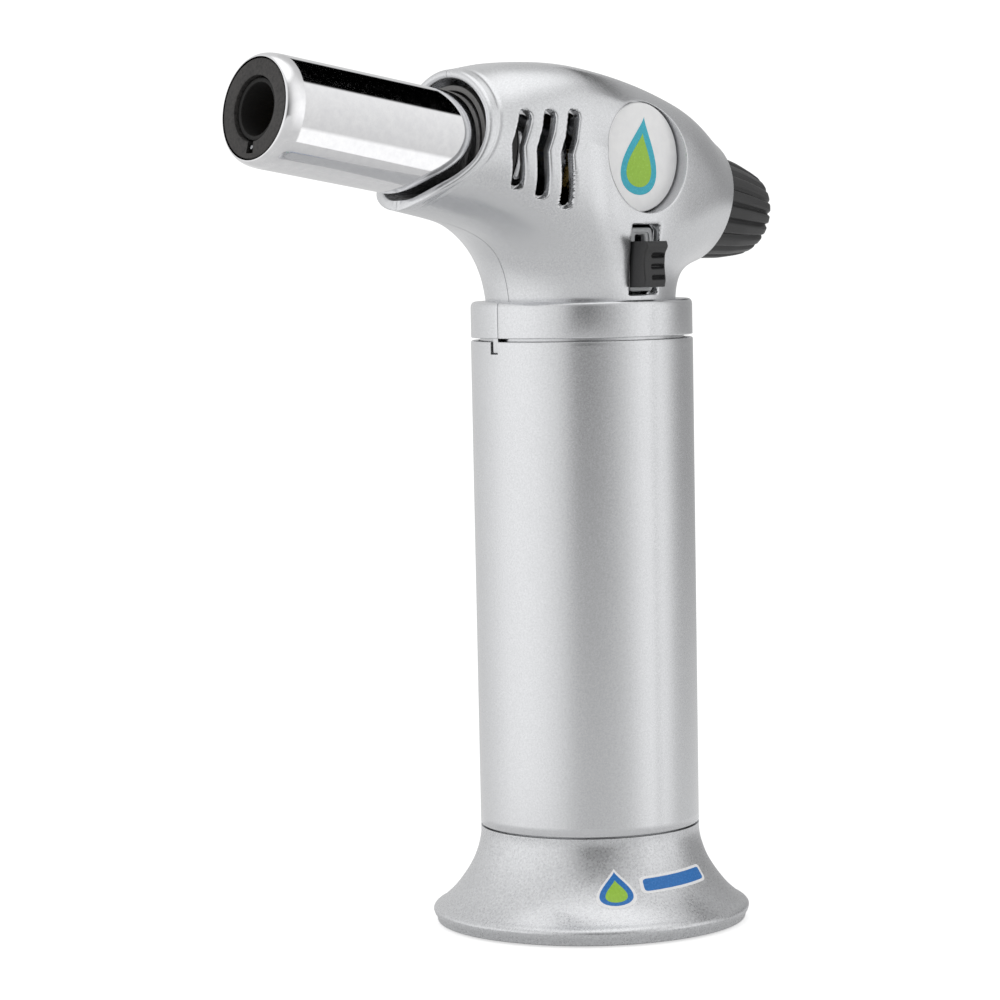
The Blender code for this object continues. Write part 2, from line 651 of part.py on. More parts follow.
def make_burner(head):
    lip = MUZZLE_S
    skirt_in = SKIRT_R - SKIRT_WALL
    turned("flame_tube", [(TUBE_IN_R, -27.5), (skirt_in, -27.5), (skirt_in, SKIRT_END_S), (SKIRT_R, SKIRT_END_S),
                          (SKIRT_R, -28.3), (TUBE_R, -28.3), (TUBE_R, lip + 3.6), (11.45, lip + 2.0),
                          (11.2, lip + 0.95), (10.85, lip + 0.3), (TUBE_IN_R, lip)],
           "chrome", head, steps=36, rotation=ALONG)
    turned("heat_ring", [(TUBE_R + GAP, -37.6), (TUBE_R + GAP, -28.8), (13.0, -28.8), (13.0, -37.6)],
           "dark_steel", head, steps=32, rotation=ALONG)
    ring = turned("muzzle_ring", [(BURNER_R + GAP, lip), (BURNER_R + GAP, lip + 2.5), (10.1, lip + 2.5),
                                  (10.1, lip)], "dark_steel", head, steps=32, rotation=ALONG)
    notch = block_mesh("ring_notch", (8.0, 1.4, 2.6), (lip, 0, -7.7))
    combine(ring, add_cutter("ring_notch", notch, head))
    turned("burner_tube", [(BURNER_IN_R, -30.8), (BURNER_R, -30.8), (BURNER_R, lip + 0.8),
                           (BURNER_IN_R, lip + 0.8)], "dark_steel", head, steps=32, rotation=ALONG)
    mount = turned("burner_mount", [(BURNER_R + GAP, -36), (BURNER_R + GAP, -34), (10.1, -34), (10.1, -36)],
                   "steel", head, steps=32, rotation=ALONG)
    lead_hole = rods_mesh("lead_hole", [((-40, 0, -8.4), (-30, 0, -8.4), 1.3)], sides=12)
    combine(mount, add_cutter("lead_hole", lead_hole, head))
    holder = turned("flame_holder", [(0, -73.0), (5.1, -73.0), (5.1, -75.0), (0, -75.0)], "brass", head,
                    steps=24, rotation=ALONG)
    ports = [((-78, 0, 0), (-70, 0, 0), 0.9)]
    for q in np.radians(np.arange(0, 360, 60)):
        y, t = 3.2 * math.cos(q), 3.2 * math.sin(q)
        ports.append(((-78, y, t), (-70, y, t), 0.8))
    combine(holder, add_cutter("flame_ports", rods_mesh("flame_ports", ports, sides=8), head))
    mixer = turned("mixing_tube", [(3.5, -11.6), (5.0, -11.6), (5.0, -31.5), (3.5, -31.5)], "brass", head,
                   steps=24, rotation=ALONG)
    air = [((-17, -7, 0), (-17, 7, 0), 1.3), ((-20.5, 0, -7), (-20.5, 0, 7), 1.3)]
    combine(mixer, add_cutter("air_holes", rods_mesh("air_holes", air, sides=10), head))
    turned("gas_jet", [(0, -9.1), (3.2, -9.1), (3.2, -11.2), (1.8, -11.2), (1.8, -14.4), (1.2, -15.0),
                       (0, -15.0)], "brass", head, steps=20, rotation=ALONG)


def make_spark(head):
    turned("electrode_insulator", [(0.75, -33.0), (1.0, -33.0), (1.0, -72.0), (0.75, -72.0)], "ceramic", head,
           steps=12, location=(0, 0, -8.4), rotation=ALONG)
    wire("electrode", [(-32.6, 0, -8.4), (-60, 0, -8.4), (-80, 0, -8.4), (-83, 0, -8.3), (-86.2, 0, -7.7)],
         0.42, "steel", head)
    route = [(-14.6, 0, -11.0), (-18, 0, -11.2), (-23, 0, -9.6), (-28, 0, -8.6), (-32.2, 0, -8.4)]
    wire("ignition_lead", smooth_route(route, 3), 0.6, "red_wire", head)
    body = block("piezo_body", (26, 9, 8), "black_plastic", head, location=(-1, 0, -11.2), bevel=0.5)
    bore = rods_mesh("piezo_bore", [((0, 0, -11.2), (20, 0, -11.2), 2.7)], sides=16)
    combine(body, add_cutter("piezo_bore", bore, head))
    turned("piezo_plunger", [(0, 22.0), (2.4, 22.0), (2.4, 4.8), (0, 4.8)], "white_plastic", head, steps=16,
           location=(0, 0, -11.2), rotation=ALONG)


def knob_mesh(name):
    """Fluted knob: turned rings whose radius dips at each flute, on a shaft bore."""
    around = FLUTES * 3
    rings = [(45.5, 0, 0), (45.5, 1.8, 0), (KNOB_FRONT_S, 1.8, 0), (KNOB_FRONT_S, 11.2, 0),
             (KNOB_FRONT_S + 0.5, 11.6, 0), (REAR_S + 0.4, KNOB_R - 0.3, 0), (REAR_S + 0.9, KNOB_R, 0.45),
             (41.5, 10.9, 0.7), (47.4, 9.4, 0.7), (49.4, 8.4, 0.6), (KNOB_END_S, 6.6, 0), (KNOB_END_S, 0, 0)]
    angle = np.arange(around) * 2 * math.pi / around
    dip = 0.5 - 0.5 * np.cos(angle * FLUTES)
    shape = bmesh.new()
    loops = []
    for s, radius, flute in rings:
        if radius == 0:
            loops.append([shape.verts.new((s * MM, 0, 0))])
            continue
        plain = flute == 0 and radius < 3
        step = 3 if plain else 1
        r = radius - flute * dip
        spots = np.stack([s + 0 * angle, r * np.cos(angle), r * np.sin(angle)], -1)[::step]
        loops.append([shape.verts.new(spot * MM) for spot in spots])
    for first, second in zip(loops, loops[1:]):
        join_loops(shape, first, second)
    bmesh.ops.recalc_face_normals(shape, faces=shape.faces)
    mesh = bpy.data.meshes.new(name)
    shape.to_mesh(mesh)
    shape.free()
    return mesh


def join_loops(shape, first, second):
    """Faces between two rings whose counts are equal, or one a multiple of the other, or one a point."""
    if len(first) > len(second):
        first, second = second, first
    count = len(second)
    ratio = count // len(first)
    for i in range(count):
        j = (i + 1) % count
        if len(first) == 1:
            shape.faces.new((first[0], second[i], second[j]))
            continue
        low, high = first[i // ratio], first[(j // ratio) % len(first)]
        if low is high:
            shape.faces.new((low, second[i], second[j]))
        else:
            shape.faces.new((low, second[i], second[j], high))


def make_control(head):
    """Needle valve, spindle, knob, igniter carriage and return spring, all on the control axis."""
    axis = new_empty("control_axis", head, (0, 0, KNOB_T))
    valve = turned("flow_valve_block", [(0, -3.0), (1.8, -3.0), (1.8, 6.0), (5.2, 6.0), (6.0, 5.2),
                                        (6.0, -8.0), (5.2, -8.8), (0, -8.8)], "brass", axis, steps=24,
                   rotation=ALONG)
    barb = rods_mesh("valve_barb", [((-2, -5, 0), (-2, -9.2, 0), 1.1)], sides=12)
    combine(valve, add_cutter("valve_barb", barb, axis), "UNION")
    turned("flow_spindle", [(0, 38.0), (SPINDLE_R, 38.0), (SPINDLE_R, -0.5), (0.6, -2.0), (0, -2.6)], "brass",
           axis, steps=16, rotation=ALONG)
    knob = add_part("ignition_knob", knob_mesh("ignition_knob"), "black_plastic", axis)
    round_shading(knob.data, 30)
    carriage = turned("igniter_carriage", [(2.0, 22.3), (10.5, 22.3), (10.5, 24.6), (4.5, 24.6), (4.5, 29.6),
                                           (2.0, 29.6)], "grey_plastic", axis, steps=24, rotation=ALONG)
    foot = block_mesh("carriage_foot", (2.3, 8.4, 9.0), (23.45, 0, -8.8))
    combine(carriage, add_cutter("carriage_foot", foot, axis), "UNION")
    tab = block_mesh("carriage_tab", (26.2, 2.0, 4.0), (11.5, 7.8, -5.2))
    combine(carriage, add_cutter("carriage_tab", tab, axis), "UNION")
    wire("igniter_return_spring", coil(3.6, 6.8, 21.8, 5, 8), 0.4, "steel", axis, rotation=ALONG)


def make_hose(body):
    """Gas hose from the outlet barb up to the needle valve's barb."""
    end_x, end_z = from_axis(-2.0, KNOB_T)
    route = [(9.9, 0, 123.0), (12.2, -1.5, 123.4), (13.0, -6.0, 126.5), (10.5, -10.5, 132.0),
             (6.5, -12.0, 139.0), (3.0, -12.6, 147.0), (0.0, -12.8, 154.0), (end_x, -12.0, end_z - 1.2),
             (end_x, -9.6, end_z)]
    wire("gas_hose", smooth_route(route, 4), 1.3, "black_plastic", body)


def main():
    body = new_empty("body_axis", location=(AXIS_X, 0, 0))
    head = new_empty("head_axis", body, (0, 0, HEAD_Z), (0, HEAD_TILT, 0))
    make_base(body)
    make_tank(body)
    make_outlet(body)
    make_lever(body)
    make_head_shells(body, head)
    make_shell_screws(body)
    make_badges(head)
    make_lock(body)
    make_burner(head)
    make_spark(head)
    make_control(head)
    make_hose(body)


main()
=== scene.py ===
"""Looks of the table-top butane torch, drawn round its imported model.

The head's two shells are one smooth surface on a grid, into which the vents, the badge seats, the lock's slot
and the screw mouths are sunk with rolled edges. The other pieces are turned outlines, fluted or flat grids.

Sizes are in millimetres, and MM turns them to metres. Two frames are used: upright (x, y, z), with the body's
axis at x = 0, and along the head (s, y, t), with s rearward on the tilted axis and t above it.
"""
import json
import math

import bmesh
import bpy
import numpy as np
from mathutils import Matrix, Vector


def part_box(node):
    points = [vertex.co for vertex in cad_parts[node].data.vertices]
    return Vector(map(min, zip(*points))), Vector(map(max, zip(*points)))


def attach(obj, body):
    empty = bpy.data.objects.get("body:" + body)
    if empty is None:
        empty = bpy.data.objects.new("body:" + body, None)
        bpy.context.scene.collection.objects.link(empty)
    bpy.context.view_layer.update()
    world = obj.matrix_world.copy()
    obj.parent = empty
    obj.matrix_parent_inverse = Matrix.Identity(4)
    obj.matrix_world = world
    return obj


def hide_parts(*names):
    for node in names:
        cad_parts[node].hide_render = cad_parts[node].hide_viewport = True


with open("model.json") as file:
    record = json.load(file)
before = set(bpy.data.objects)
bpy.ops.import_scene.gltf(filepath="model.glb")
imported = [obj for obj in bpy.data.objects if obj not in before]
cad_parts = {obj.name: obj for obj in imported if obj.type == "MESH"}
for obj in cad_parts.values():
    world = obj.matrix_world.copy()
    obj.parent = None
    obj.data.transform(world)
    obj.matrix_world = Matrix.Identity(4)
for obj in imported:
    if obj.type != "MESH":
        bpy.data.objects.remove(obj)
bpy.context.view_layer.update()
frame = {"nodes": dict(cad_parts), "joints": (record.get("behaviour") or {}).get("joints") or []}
MM = 0.001


# ---------------------------------------------------------------- places read from the model

def box_mm(node):
    """Lowest and highest corner of a node, in millimetres."""
    low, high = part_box(node)
    return np.array(low) / MM, np.array(high) / MM


def joint_axis(name):
    """Direction of a joint's axis."""
    return next(joint["axis"] for joint in frame["joints"] if joint["name"] == name)


PUSH_AXIS = joint_axis("igniter_push")
HEAD_TILT = math.atan2(PUSH_AXIS[2], -PUSH_AXIS[0])
SLEEVE_LOW, SLEEVE_HIGH = box_mm("body_sleeve")
AXIS_X = (SLEEVE_LOW[0] + SLEEVE_HIGH[0]) / 2
MUZZLE_MID = sum(box_mm("muzzle_ring")) / 2
HEAD_Z = MUZZLE_MID[2] + (MUZZLE_MID[0] - AXIS_X) * math.tan(HEAD_TILT)
BASE_SEAM_Z = SLEEVE_LOW[2] - 0.3
BODY_TOP_Z = SLEEVE_HIGH[2]

# Body, and the base's flare from its seam out to its foot, as (radius, height)
BODY_R_TOP = 23.76
BODY_R_LOW = 23.53
BODY_WALL = 1.6
NOTCH_DEPTH = 2.7         # the sleeve's top notch, where the head's tab drops in
FLARE = ((23.53, 21.0), (23.58, 19.0), (24.1, 16.5), (25.3, 13.3), (27.2, 10.1), (29.7, 6.9), (32.1, 4.7),
         (33.6, 3.7), (34.1, 2.9), (33.85, 2.0))
BASE_SCREW_RING_R = 20.5

# Collar and spigot, turned parts of the head shells
SPIGOT_R = 21.8
SPIGOT_LOW_Z = 121.6
COLLAR_R = 23.7
COLLAR_LOW_Z = 126.0
COLLAR_TOP_Z = 133.7

# Head: half height above the axis (TOP), below it (LOW) and half width (WIDE), along the axis from the muzzle
# side, then the rim round the flame tube
TOP_S = (-60, -40, -28, -16, -6, 6, 16, 26, 34, 44)
TOP_H = (12.5, 15.8, 19.4, 21.3, 21.3, 20.1, 18.2, 15.7, 12.9, 8.0)
LOW_S = (-60, -48, -36, -20, -6, 8, 18, 26, 34, 44)
LOW_H = (14.4, 14.7, 15.2, 16.2, 17.4, 18.5, 18.8, 17.1, 13.6, 8.5)
WIDE_S = TOP_S
WIDE_H = (13.8, 15.5, 18.0, 20.0, 21.0, 20.8, 19.3, 16.6, 13.2, 8.5)
SQUARENESS = 1.0          # how far the section's exponent rises above an ellipse's 2, beside the badge
NECK_R = 20.1
NECK_TAPER = 4.0          # how much narrower the neck is where it ends inside the pod
NECK_TOP_Z = 158.0
RIM_T = (-17, -13.5, -11, -8, -4, 0, 8, 17)
RIM_S = (-48.8, -48.2, -46.6, -43.8, -41.0, -39.6, -38.6, -39.4)
REAR_S = 33.0
PARTING = 0.05            # each shell stops this far from the middle plane
EDGE_BREAK = 0.16         # radius of the shells' broken edges, and depth of the bead line behind the rim
WALL = 2.0
REAR_WALL = 1.0
BADGE_BACKING = 4.2       # how much thicker the wall is behind the badge
NECK_SHARE = 0.42         # share of the grid's rows below the pod

# Vents, badges, lock slot and screw mouths
VENT_S = -31.9
VENT_PITCH = 5.5
VENT_HALF_W = 1.65
BADGE_S = 0.5
BADGE_T = 3.6
BADGE_R = 11.5
BADGE_SEAT_R = 11.75
BADGE_BACK = 16.95        # distance of the badge's back from the middle plane
BADGE_THICK = 1.2
BADGE_LEAN = math.radians(3.2)
SLOT_W = 8.0
SLOT_H = 14.6
SLOT_Z = 142.1
MOUTH_R = 2.9
MOUTH_FLOOR = 8.0
POST_END = 6.6            # the screw posts reach this close to the middle plane
VENT_LIP = 0.3            # radii of the rolled edges round these openings
SEAT_LIP = 0.2
SLOT_LIP = 0.35
MOUTH_LIP = 0.3
VENT_SPAN = 0.85          # strips of the grid, in from each outline, that become its lip and wall
SEAT_SPAN = 2.4
SLOT_SPAN = 1.2
MOUTH_SPAN = 1.2
LIP_SHARE = 0.4           # share of a strip that goes to the lip

# Flame tube and rear control
TUBE_R = 11.59
TUBE_IN_R = 10.4
MUZZLE_S = -86.6
SKIRT_R = 12.9            # belled rear end of the flame tube, behind the vents
SKIRT_WALL = 0.7
SKIRT_START_S = -28.3
SKIRT_END_S = -15.2
BURNER_R = 6.3
BURNER_IN_R = 5.4
BURNER_END_S = -30.8
RING_R = (6.6, 10.1)      # muzzle ring, inside and outside
KNOB_T = -0.9
FLUTES = 20
FLUTE_DEPTH = 0.85

# Lock, prints and screws
TRACK_Y = -19.2
SLIDER_X = (-3.6, 2.6)
SLIDER_Z = (136.3, 145.9)
PRINT_THICK = 0.025
SHANK_R = 1.3


# ---------------------------------------------------------------- frames

def to_axis(x, z):
    """Upright x and z to the head's axis: distance along it (rearward) and height above it."""
    c, s = math.cos(HEAD_TILT), math.sin(HEAD_TILT)
    return x * c - (z - HEAD_Z) * s, x * s + (z - HEAD_Z) * c


def from_axis(along, up):
    """Distance along the head's axis and height above it to upright x and z."""
    c, s = math.cos(HEAD_TILT), math.sin(HEAD_TILT)
    return along * c + up * s, HEAD_Z - along * s + up * c


def upright(points):
    """Points of the upright frame, in the model's own."""
    return points + np.array([AXIS_X, 0, 0])


def along_head(points):
    """Points (s, y, t) of the head's frame, in the model's own."""
    x, z = from_axis(points[..., 0], points[..., 2])
    return upright(np.stack([x, points[..., 1], z], -1))


SCREW_PLACES = ((13.5, 139.0), (-13.5, 139.0), from_axis(13.2, 12.0))


# ---------------------------------------------------------------- mesh making

def add_piece(name, points, faces, body, material, replaces=(), sharp=32):
    """Put a surface into a mesh object, close its seams and poles, point it outwards and ride it on a body.
    Edges that turn by more than `sharp` degrees stay crisp."""
    mesh = bpy.data.meshes.new(name)
    mesh.from_pydata(np.asarray(points).reshape(-1, 3) * MM, [], np.asarray(faces).reshape(-1, 4).tolist())
    shape = bmesh.new()
    shape.from_mesh(mesh)
    bmesh.ops.remove_doubles(shape, verts=shape.verts, dist=2e-6)
    bmesh.ops.dissolve_degenerate(shape, edges=shape.edges, dist=1e-6)
    bmesh.ops.recalc_face_normals(shape, faces=shape.faces)
    shape.to_mesh(mesh)
    shape.free()
    mesh.shade_smooth()
    mesh.set_sharp_from_angle(angle=math.radians(sharp))
    mesh.materials.append(material)
    piece = bpy.data.objects.new(name, mesh)
    bpy.context.scene.collection.objects.link(piece)
    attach(piece, body)
    if replaces:
        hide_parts(*replaces)
    return piece


def grid_faces(rows, cols, ring_rows=False, ring_cols=False):
    """Quads of a grid whose last row or column may join its first."""
    i = np.arange(rows if ring_rows else rows - 1)[:, None]
    j = np.arange(cols if ring_cols else cols - 1)[None, :]
    below, right = (i + 1) % rows, (j + 1) % cols
    return np.stack([i * cols + j, i * cols + right, below * cols + right, below * cols + j], -1)


def two_skins(outer, inner, keep=None, ring=False):
    """A walled solid: kept faces of the outer grid, the same of the inner grid turned over, and a wall of
    quads along every edge that only one kept face has."""
    rows, cols = outer.shape[:2]
    count = rows * cols
    quads = grid_faces(rows, cols, ring_cols=ring)
    kept = quads.reshape(-1, 4) if keep is None else quads[keep]
    edges = np.concatenate([kept[:, [k, (k + 1) % 4]] for k in range(4)])
    has_other = np.isin(edges[:, 0] * count + edges[:, 1], edges[:, 1] * count + edges[:, 0])
    rim = edges[~has_other]
    wall = np.column_stack([rim[:, 1], rim[:, 0], rim[:, 0] + count, rim[:, 1] + count])
    faces = np.concatenate([kept, kept[:, ::-1] + count, wall])
    used, faces = np.unique(faces, return_inverse=True)
    points = np.concatenate([outer.reshape(-1, 3), inner.reshape(-1, 3)])
    return points[used], faces.reshape(-1, 4)


def softened(corners, per_arc=5, ring=True):
    """An outline of (r, h, cut) corners; each corner with a cut is replaced by a parabola arc that starts
    and ends that far from it."""
    spots = np.array(corners, float)
    out = []
    for k, (r, h, cut) in enumerate(spots):
        corner = np.array([r, h])
        if cut == 0 or (not ring and k in (0, len(spots) - 1)):
            out.append(corner)
            continue
        before = spots[k - 1, :2] - corner
        after = spots[(k + 1) % len(spots), :2] - corner
        start = corner + before / np.linalg.norm(before) * cut
        end = corner + after / np.linalg.norm(after) * cut
        for t in np.linspace(0, 1, per_arc):
            out.append((1 - t) ** 2 * start + 2 * t * (1 - t) * corner + t * t * end)
    return np.array(out)


def smooth_line(points, per_span):
    """Catmull-Rom curve through the points."""
    line = np.array([points[0]] + list(points) + [points[-1]], float)
    out = []
    for i in range(1, len(line) - 2):
        p0, p1, p2, p3 = line[i - 1:i + 3]
        for k in range(per_span):
            t = k / per_span
            out.append(0.5 * (2 * p1 + (p2 - p0) * t + (2 * p0 - 5 * p1 + 4 * p2 - p3) * t * t
                              + (3 * p1 - p0 - 3 * p2 + p3) * t ** 3))
    out.append(line[-2])
    return np.array(out)


def circle(profile, steps):
    """The profile (r, h) carried round the axis: rows of the outline by columns round it."""
    profile = np.asarray(profile, float)
    angle = np.arange(steps) * 2 * math.pi / steps
    r, h = profile[:, :1], profile[:, 1:2]
    return np.stack([r * np.cos(angle), r * np.sin(angle), h + 0 * angle], -1)


def turned(name, profile, material, steps=128, head=False):
    """A turned piece on the root body that replaces the node of its name: the outline, a closed ring of (r,
    h), is carried round the body's axis, or round the head's."""
    points = circle(profile, steps)
    faces = grid_faces(len(points), steps, ring_rows=True, ring_cols=True)
    placed = along_head(points[..., [2, 0, 1]]) if head else upright(points)
    return add_piece(name, placed, faces, "root", material, [name])


# ---------------------------------------------------------------- the head's surface

def through(xs, ys, x):
    """Hermite cubic through the given points, its slope at each by differences, and level beyond its
    ends."""
    xs = np.array(xs, float)
    ys = np.array(ys, float)
    slope = np.gradient(ys, xs)
    x = np.clip(x, xs[0], xs[-1])
    i = np.clip(np.searchsorted(xs, x, side="right") - 1, 0, len(xs) - 2)
    h = xs[i + 1] - xs[i]
    t = (x - xs[i]) / h
    return ((2 * t ** 3 - 3 * t ** 2 + 1) * ys[i] + (t ** 3 - 2 * t ** 2 + t) * h * slope[i]
            + (3 * t ** 2 - 2 * t ** 3) * ys[i + 1] + (t ** 3 - t ** 2) * h * slope[i + 1])


def ease(low, high, x):
    """0 below low, 1 above high, and 3t^2 - 2t^3 between."""
    t = np.clip((x - low) / (high - low), 0, 1)
    return t * t * (3 - 2 * t)


def head_field(x, y, z):
    """Below zero inside the head: a long pod on the tilted axis, with sections |y/wide|^n + |t/half|^n = 1,
    and an upright elliptic neck. The lower of the two counts, less a cubic where they come near each
    other."""
    s, t = to_axis(x, z)
    top, low, wide = through(TOP_S, TOP_H, s), through(LOW_S, LOW_H, s), through(WIDE_S, WIDE_H, s)
    half = low + (top - low) * ease(-6, 6, t)
    n = 2 + SQUARENESS * ease(-38, -14, s) * (1 - ease(14, 32, s))
    pod = ((np.abs(y / wide) ** n + np.abs(t / half) ** n) ** (1 / n) - 1) * np.minimum(wide, half)
    neck_y = NECK_R - NECK_TAPER * ease(142, 165, z)
    neck = (np.sqrt((x / NECK_R) ** 2 + (y / neck_y) ** 2) - 1) * neck_y
    neck = np.maximum(neck, z - NECK_TOP_Z)
    blend = 9 + np.where(x < 0, 13 * ease(0, 16, -x), ease(0, 16, x))
    near = np.maximum(blend - np.abs(pod - neck), 0) / blend
    return np.minimum(pod, neck) - near ** 3 * blend / 6


def field_slope(points, e=0.05):
    """The field's gradient by central differences."""
    x, y, z = points[..., 0], points[..., 1], points[..., 2]
    return np.stack([head_field(x + e, y, z) - head_field(x - e, y, z),
                     head_field(x, y + e, z) - head_field(x, y - e, z),
                     head_field(x, y, z + e) - head_field(x, y, z - e)], -1) / (2 * e)


def wall_at(s, t):
    """Wall thickness: thinner at the rear opening, thicker behind the badge."""
    wall = WALL + (REAR_WALL - WALL) * ease(22, REAR_S, s)
    reach = np.hypot(s - BADGE_S, t - BADGE_T)
    return wall + BADGE_BACKING * (1 - ease(BADGE_R + 1.1, BADGE_R + 3.6, reach))


def shell_rays(a, v):
    """For each grid place, its point at radius r: straight out of the neck low down, out of the axis above.
    a runs from the muzzle side to the rear, v from the collar to the ridge."""
    swing = math.pi * (1 + a)
    low_angle = -math.pi / 2 + math.radians(66) * np.sin(math.pi * a) ** 0.8
    share = np.clip((v - NECK_SHARE) / (1 - NECK_SHARE), 0, 1)
    angle = low_angle + (math.pi / 2 - low_angle) * share
    mix = ease(0, NECK_SHARE, v)

    def at(r):
        up = r * np.sin(angle)
        along = through(RIM_T, RIM_S, up) * (1 - a) + REAR_S * a
        px, pz = from_axis(along, up)
        return (r * np.cos(swing) * (1 - mix) + px * mix, r * np.sin(swing) * (1 - mix)
                - r * np.cos(angle) * mix, COLLAR_TOP_Z * (1 - mix) + pz * mix)
    return at


def first_hit(at, shape, reach=60.0, marches=100):
    """March outwards to the head's surface, then halve the last step."""
    low = np.zeros(shape)
    found = np.zeros(shape, bool)
    for i in range(1, marches + 1):
        r = np.full(shape, reach * i / marches)
        found |= head_field(*at(r)) > 0
        low = np.where(found, low, r)
    high = low + reach / marches
    for _ in range(24):
        middle = (low + high) / 2
        outside = head_field(*at(middle)) > 0
        high = np.where(outside, middle, high)
        low = np.where(outside, low, middle)
    return np.stack(at(high), -1)


def zones(*spans):
    """Grid values from 0 on, each zone (end, count) evenly divided."""
    start = 0.0
    values = [np.zeros(1)]
    for end, count in spans:
        values.append(np.linspace(start, end, count + 1)[1:])
        start = end
    return np.concatenate(values)


def edge_roll(radius, distance):
    """How far a rolled edge of that radius has dropped at a distance in from the edge."""
    inside = np.clip(radius - distance, 0, radius)
    return radius - np.sqrt(np.maximum(radius ** 2 - inside ** 2, 0))


def run_lengths(points, axis):
    """Distance along grid lines from their first point."""
    step = np.linalg.norm(np.diff(points, axis=axis), axis=-1)
    start = np.zeros_like(np.take(step, [0], axis=axis))
    return np.concatenate([start, np.cumsum(step, axis=axis)], axis=axis)


def head_skins():
    """Outer and inner skin of the left half on one grid: columns from the muzzle side to the rear, rows from
    the collar's top to the ridge. The rim and the rear edge are rolled, and the parting edges are broken."""
    columns = zones((0.0006, 1), (0.0025, 1), (0.006, 1), (0.011, 1), (0.043, 8), (0.29, 76), (0.37, 13),
                    (0.71, 68), (0.985, 48), (0.991, 2), (0.996, 2), (0.9985, 1), (1, 1))
    pod = NECK_SHARE + (1 - NECK_SHARE) * zones((0.62, 82), (0.985, 32), (0.996, 2), (1, 1))
    rows = np.concatenate([np.linspace(0, NECK_SHARE, 80)[:-1], pod])
    a, v = np.meshgrid(columns, rows)
    outer = first_hit(shell_rays(a, v), a.shape)
    slope = field_slope(outer)
    normal = slope / np.linalg.norm(slope, axis=-1, keepdims=True)
    wall = wall_at(*to_axis(outer[..., 0], outer[..., 2]))
    from_front = run_lengths(outer, 1)
    from_rear = run_lengths(outer[:, ::-1], 1)[:, ::-1]
    from_ridge = run_lengths(outer[::-1], 0)[::-1]
    opening = ease(NECK_SHARE, NECK_SHARE + 0.07, v)
    front_roll = edge_roll(EDGE_BREAK + (WALL / 2 - EDGE_BREAK) * opening, from_front)
    rear_roll = edge_roll(EDGE_BREAK + (REAR_WALL / 2 - EDGE_BREAK) * opening, from_rear)
    drop = np.maximum(np.maximum(front_roll, rear_roll), edge_roll(EDGE_BREAK, from_ridge))
    bead = EDGE_BREAK * np.exp(-((from_front - 3.0) / 0.45) ** 2) * opening
    lift = np.maximum(front_roll, rear_roll) * opening
    skin = outer - normal * (drop + bead)[..., None]
    back = outer - normal * (wall - lift)[..., None]
    return skin, back, normal, a[0]


def sink(skin, back, normal, distance, lip, span, floor=None, room=None):
    """Sink a shape into the flank. Of the strip `span` wide inside its outline, LIP_SHARE is carried over a
    rolled lip and the rest down a straight wall, which so stands exactly `lip` inside the outline. The wall
    ends at the inner skin, or on a floor at that distance from the middle plane. What is left of the grid
    is stretched to meet it, for a round shape of radius `room`. Gives how far inside the outline each point
    lay."""
    x, z = skin[..., 0], skin[..., 2]
    e = 0.02
    q = -distance(x, z)
    gx = (distance(x + e, z) - distance(x - e, z)) / (2 * e)
    gz = (distance(x, z + e) - distance(x, z - e)) / (2 * e)
    inside = q > 0
    rest = 0 if room is None else np.maximum(q - span, 0) * (room - lip) / (room - span)
    goal = back[..., 1] if floor is None else -floor(x, z)
    depth = np.maximum(goal - skin[..., 1], lip * 1.2)
    share = np.clip(q / span, 0, 1)
    turn = np.minimum(share / LIP_SHARE, 1) * math.pi / 2
    shift = np.where(inside, q - lip * np.sin(turn) - rest, 0)
    move_x, move_z = gx * shift, gz * shift
    slide = -(normal[..., 0] * move_x + normal[..., 2] * move_z) / np.minimum(normal[..., 1], -0.2)
    down = lip * (1 - np.cos(turn)) + np.maximum(share - LIP_SHARE, 0) / (1 - LIP_SHARE) * (depth - lip)
    surface = skin[..., 1] + slide
    bottom = goal + (slide if floor is None else 0)
    skin[..., 1] = np.where(inside, np.minimum(surface + down, bottom), skin[..., 1])
    skin[..., 0] += move_x
    skin[..., 2] += move_z
    if floor is None:
        back[..., 0] += move_x
        back[..., 2] += move_z
        back[..., 1] += np.where(inside, slide + 0.02, 0)
    return q


def vent_distance(index):
    """Distance to a vent: a round-ended stroke along a line with a small kink just above its middle."""
    s0 = VENT_S + VENT_PITCH * index
    r = VENT_HALF_W
    line = [(s0 + 1.4, 8.8 + 0.9 * index - r), (s0 - 0.2, 0.9), (s0 + 0.2, -1.5),
            (s0 + 1.4, -8.2 - 1.2 * index + r)]

    def distance(x, z):
        s, t = to_axis(x, z)
        near = np.full(np.shape(s), 1e9)
        for (s1, t1), (s2, t2) in zip(line, line[1:]):
            ds, dt = s2 - s1, t2 - t1
            k = np.clip(((s - s1) * ds + (t - t1) * dt) / (ds * ds + dt * dt), 0, 1)
            near = np.minimum(near, np.hypot(s - s1 - k * ds, t - t1 - k * dt))
        return near - r
    return distance


def badge_distance(x, z):
    """Distance to the lip of the badge's round seat."""
    s, t = to_axis(x, z)
    return np.hypot(s - BADGE_S, t - BADGE_T) - BADGE_SEAT_R - SEAT_LIP


def badge_floor(x, z):
    """The seat's floor, as far out as a plane that leans with the badge, just behind its back."""
    along = to_axis(x, z)[0]
    return BADGE_BACK - 0.3 - (along - BADGE_S) * math.tan(BADGE_LEAN)


def slot_distance(x, z, corner=0.65):
    """Distance to the lip of the lock's slot, a rectangle with round corners."""
    dx = np.abs(x) - (SLOT_W / 2 + SLOT_LIP - corner)
    dz = np.abs(z - SLOT_Z) - (SLOT_H / 2 + SLOT_LIP - corner)
    return np.hypot(np.maximum(dx, 0), np.maximum(dz, 0)) + np.minimum(np.maximum(dx, dz), 0) - corner


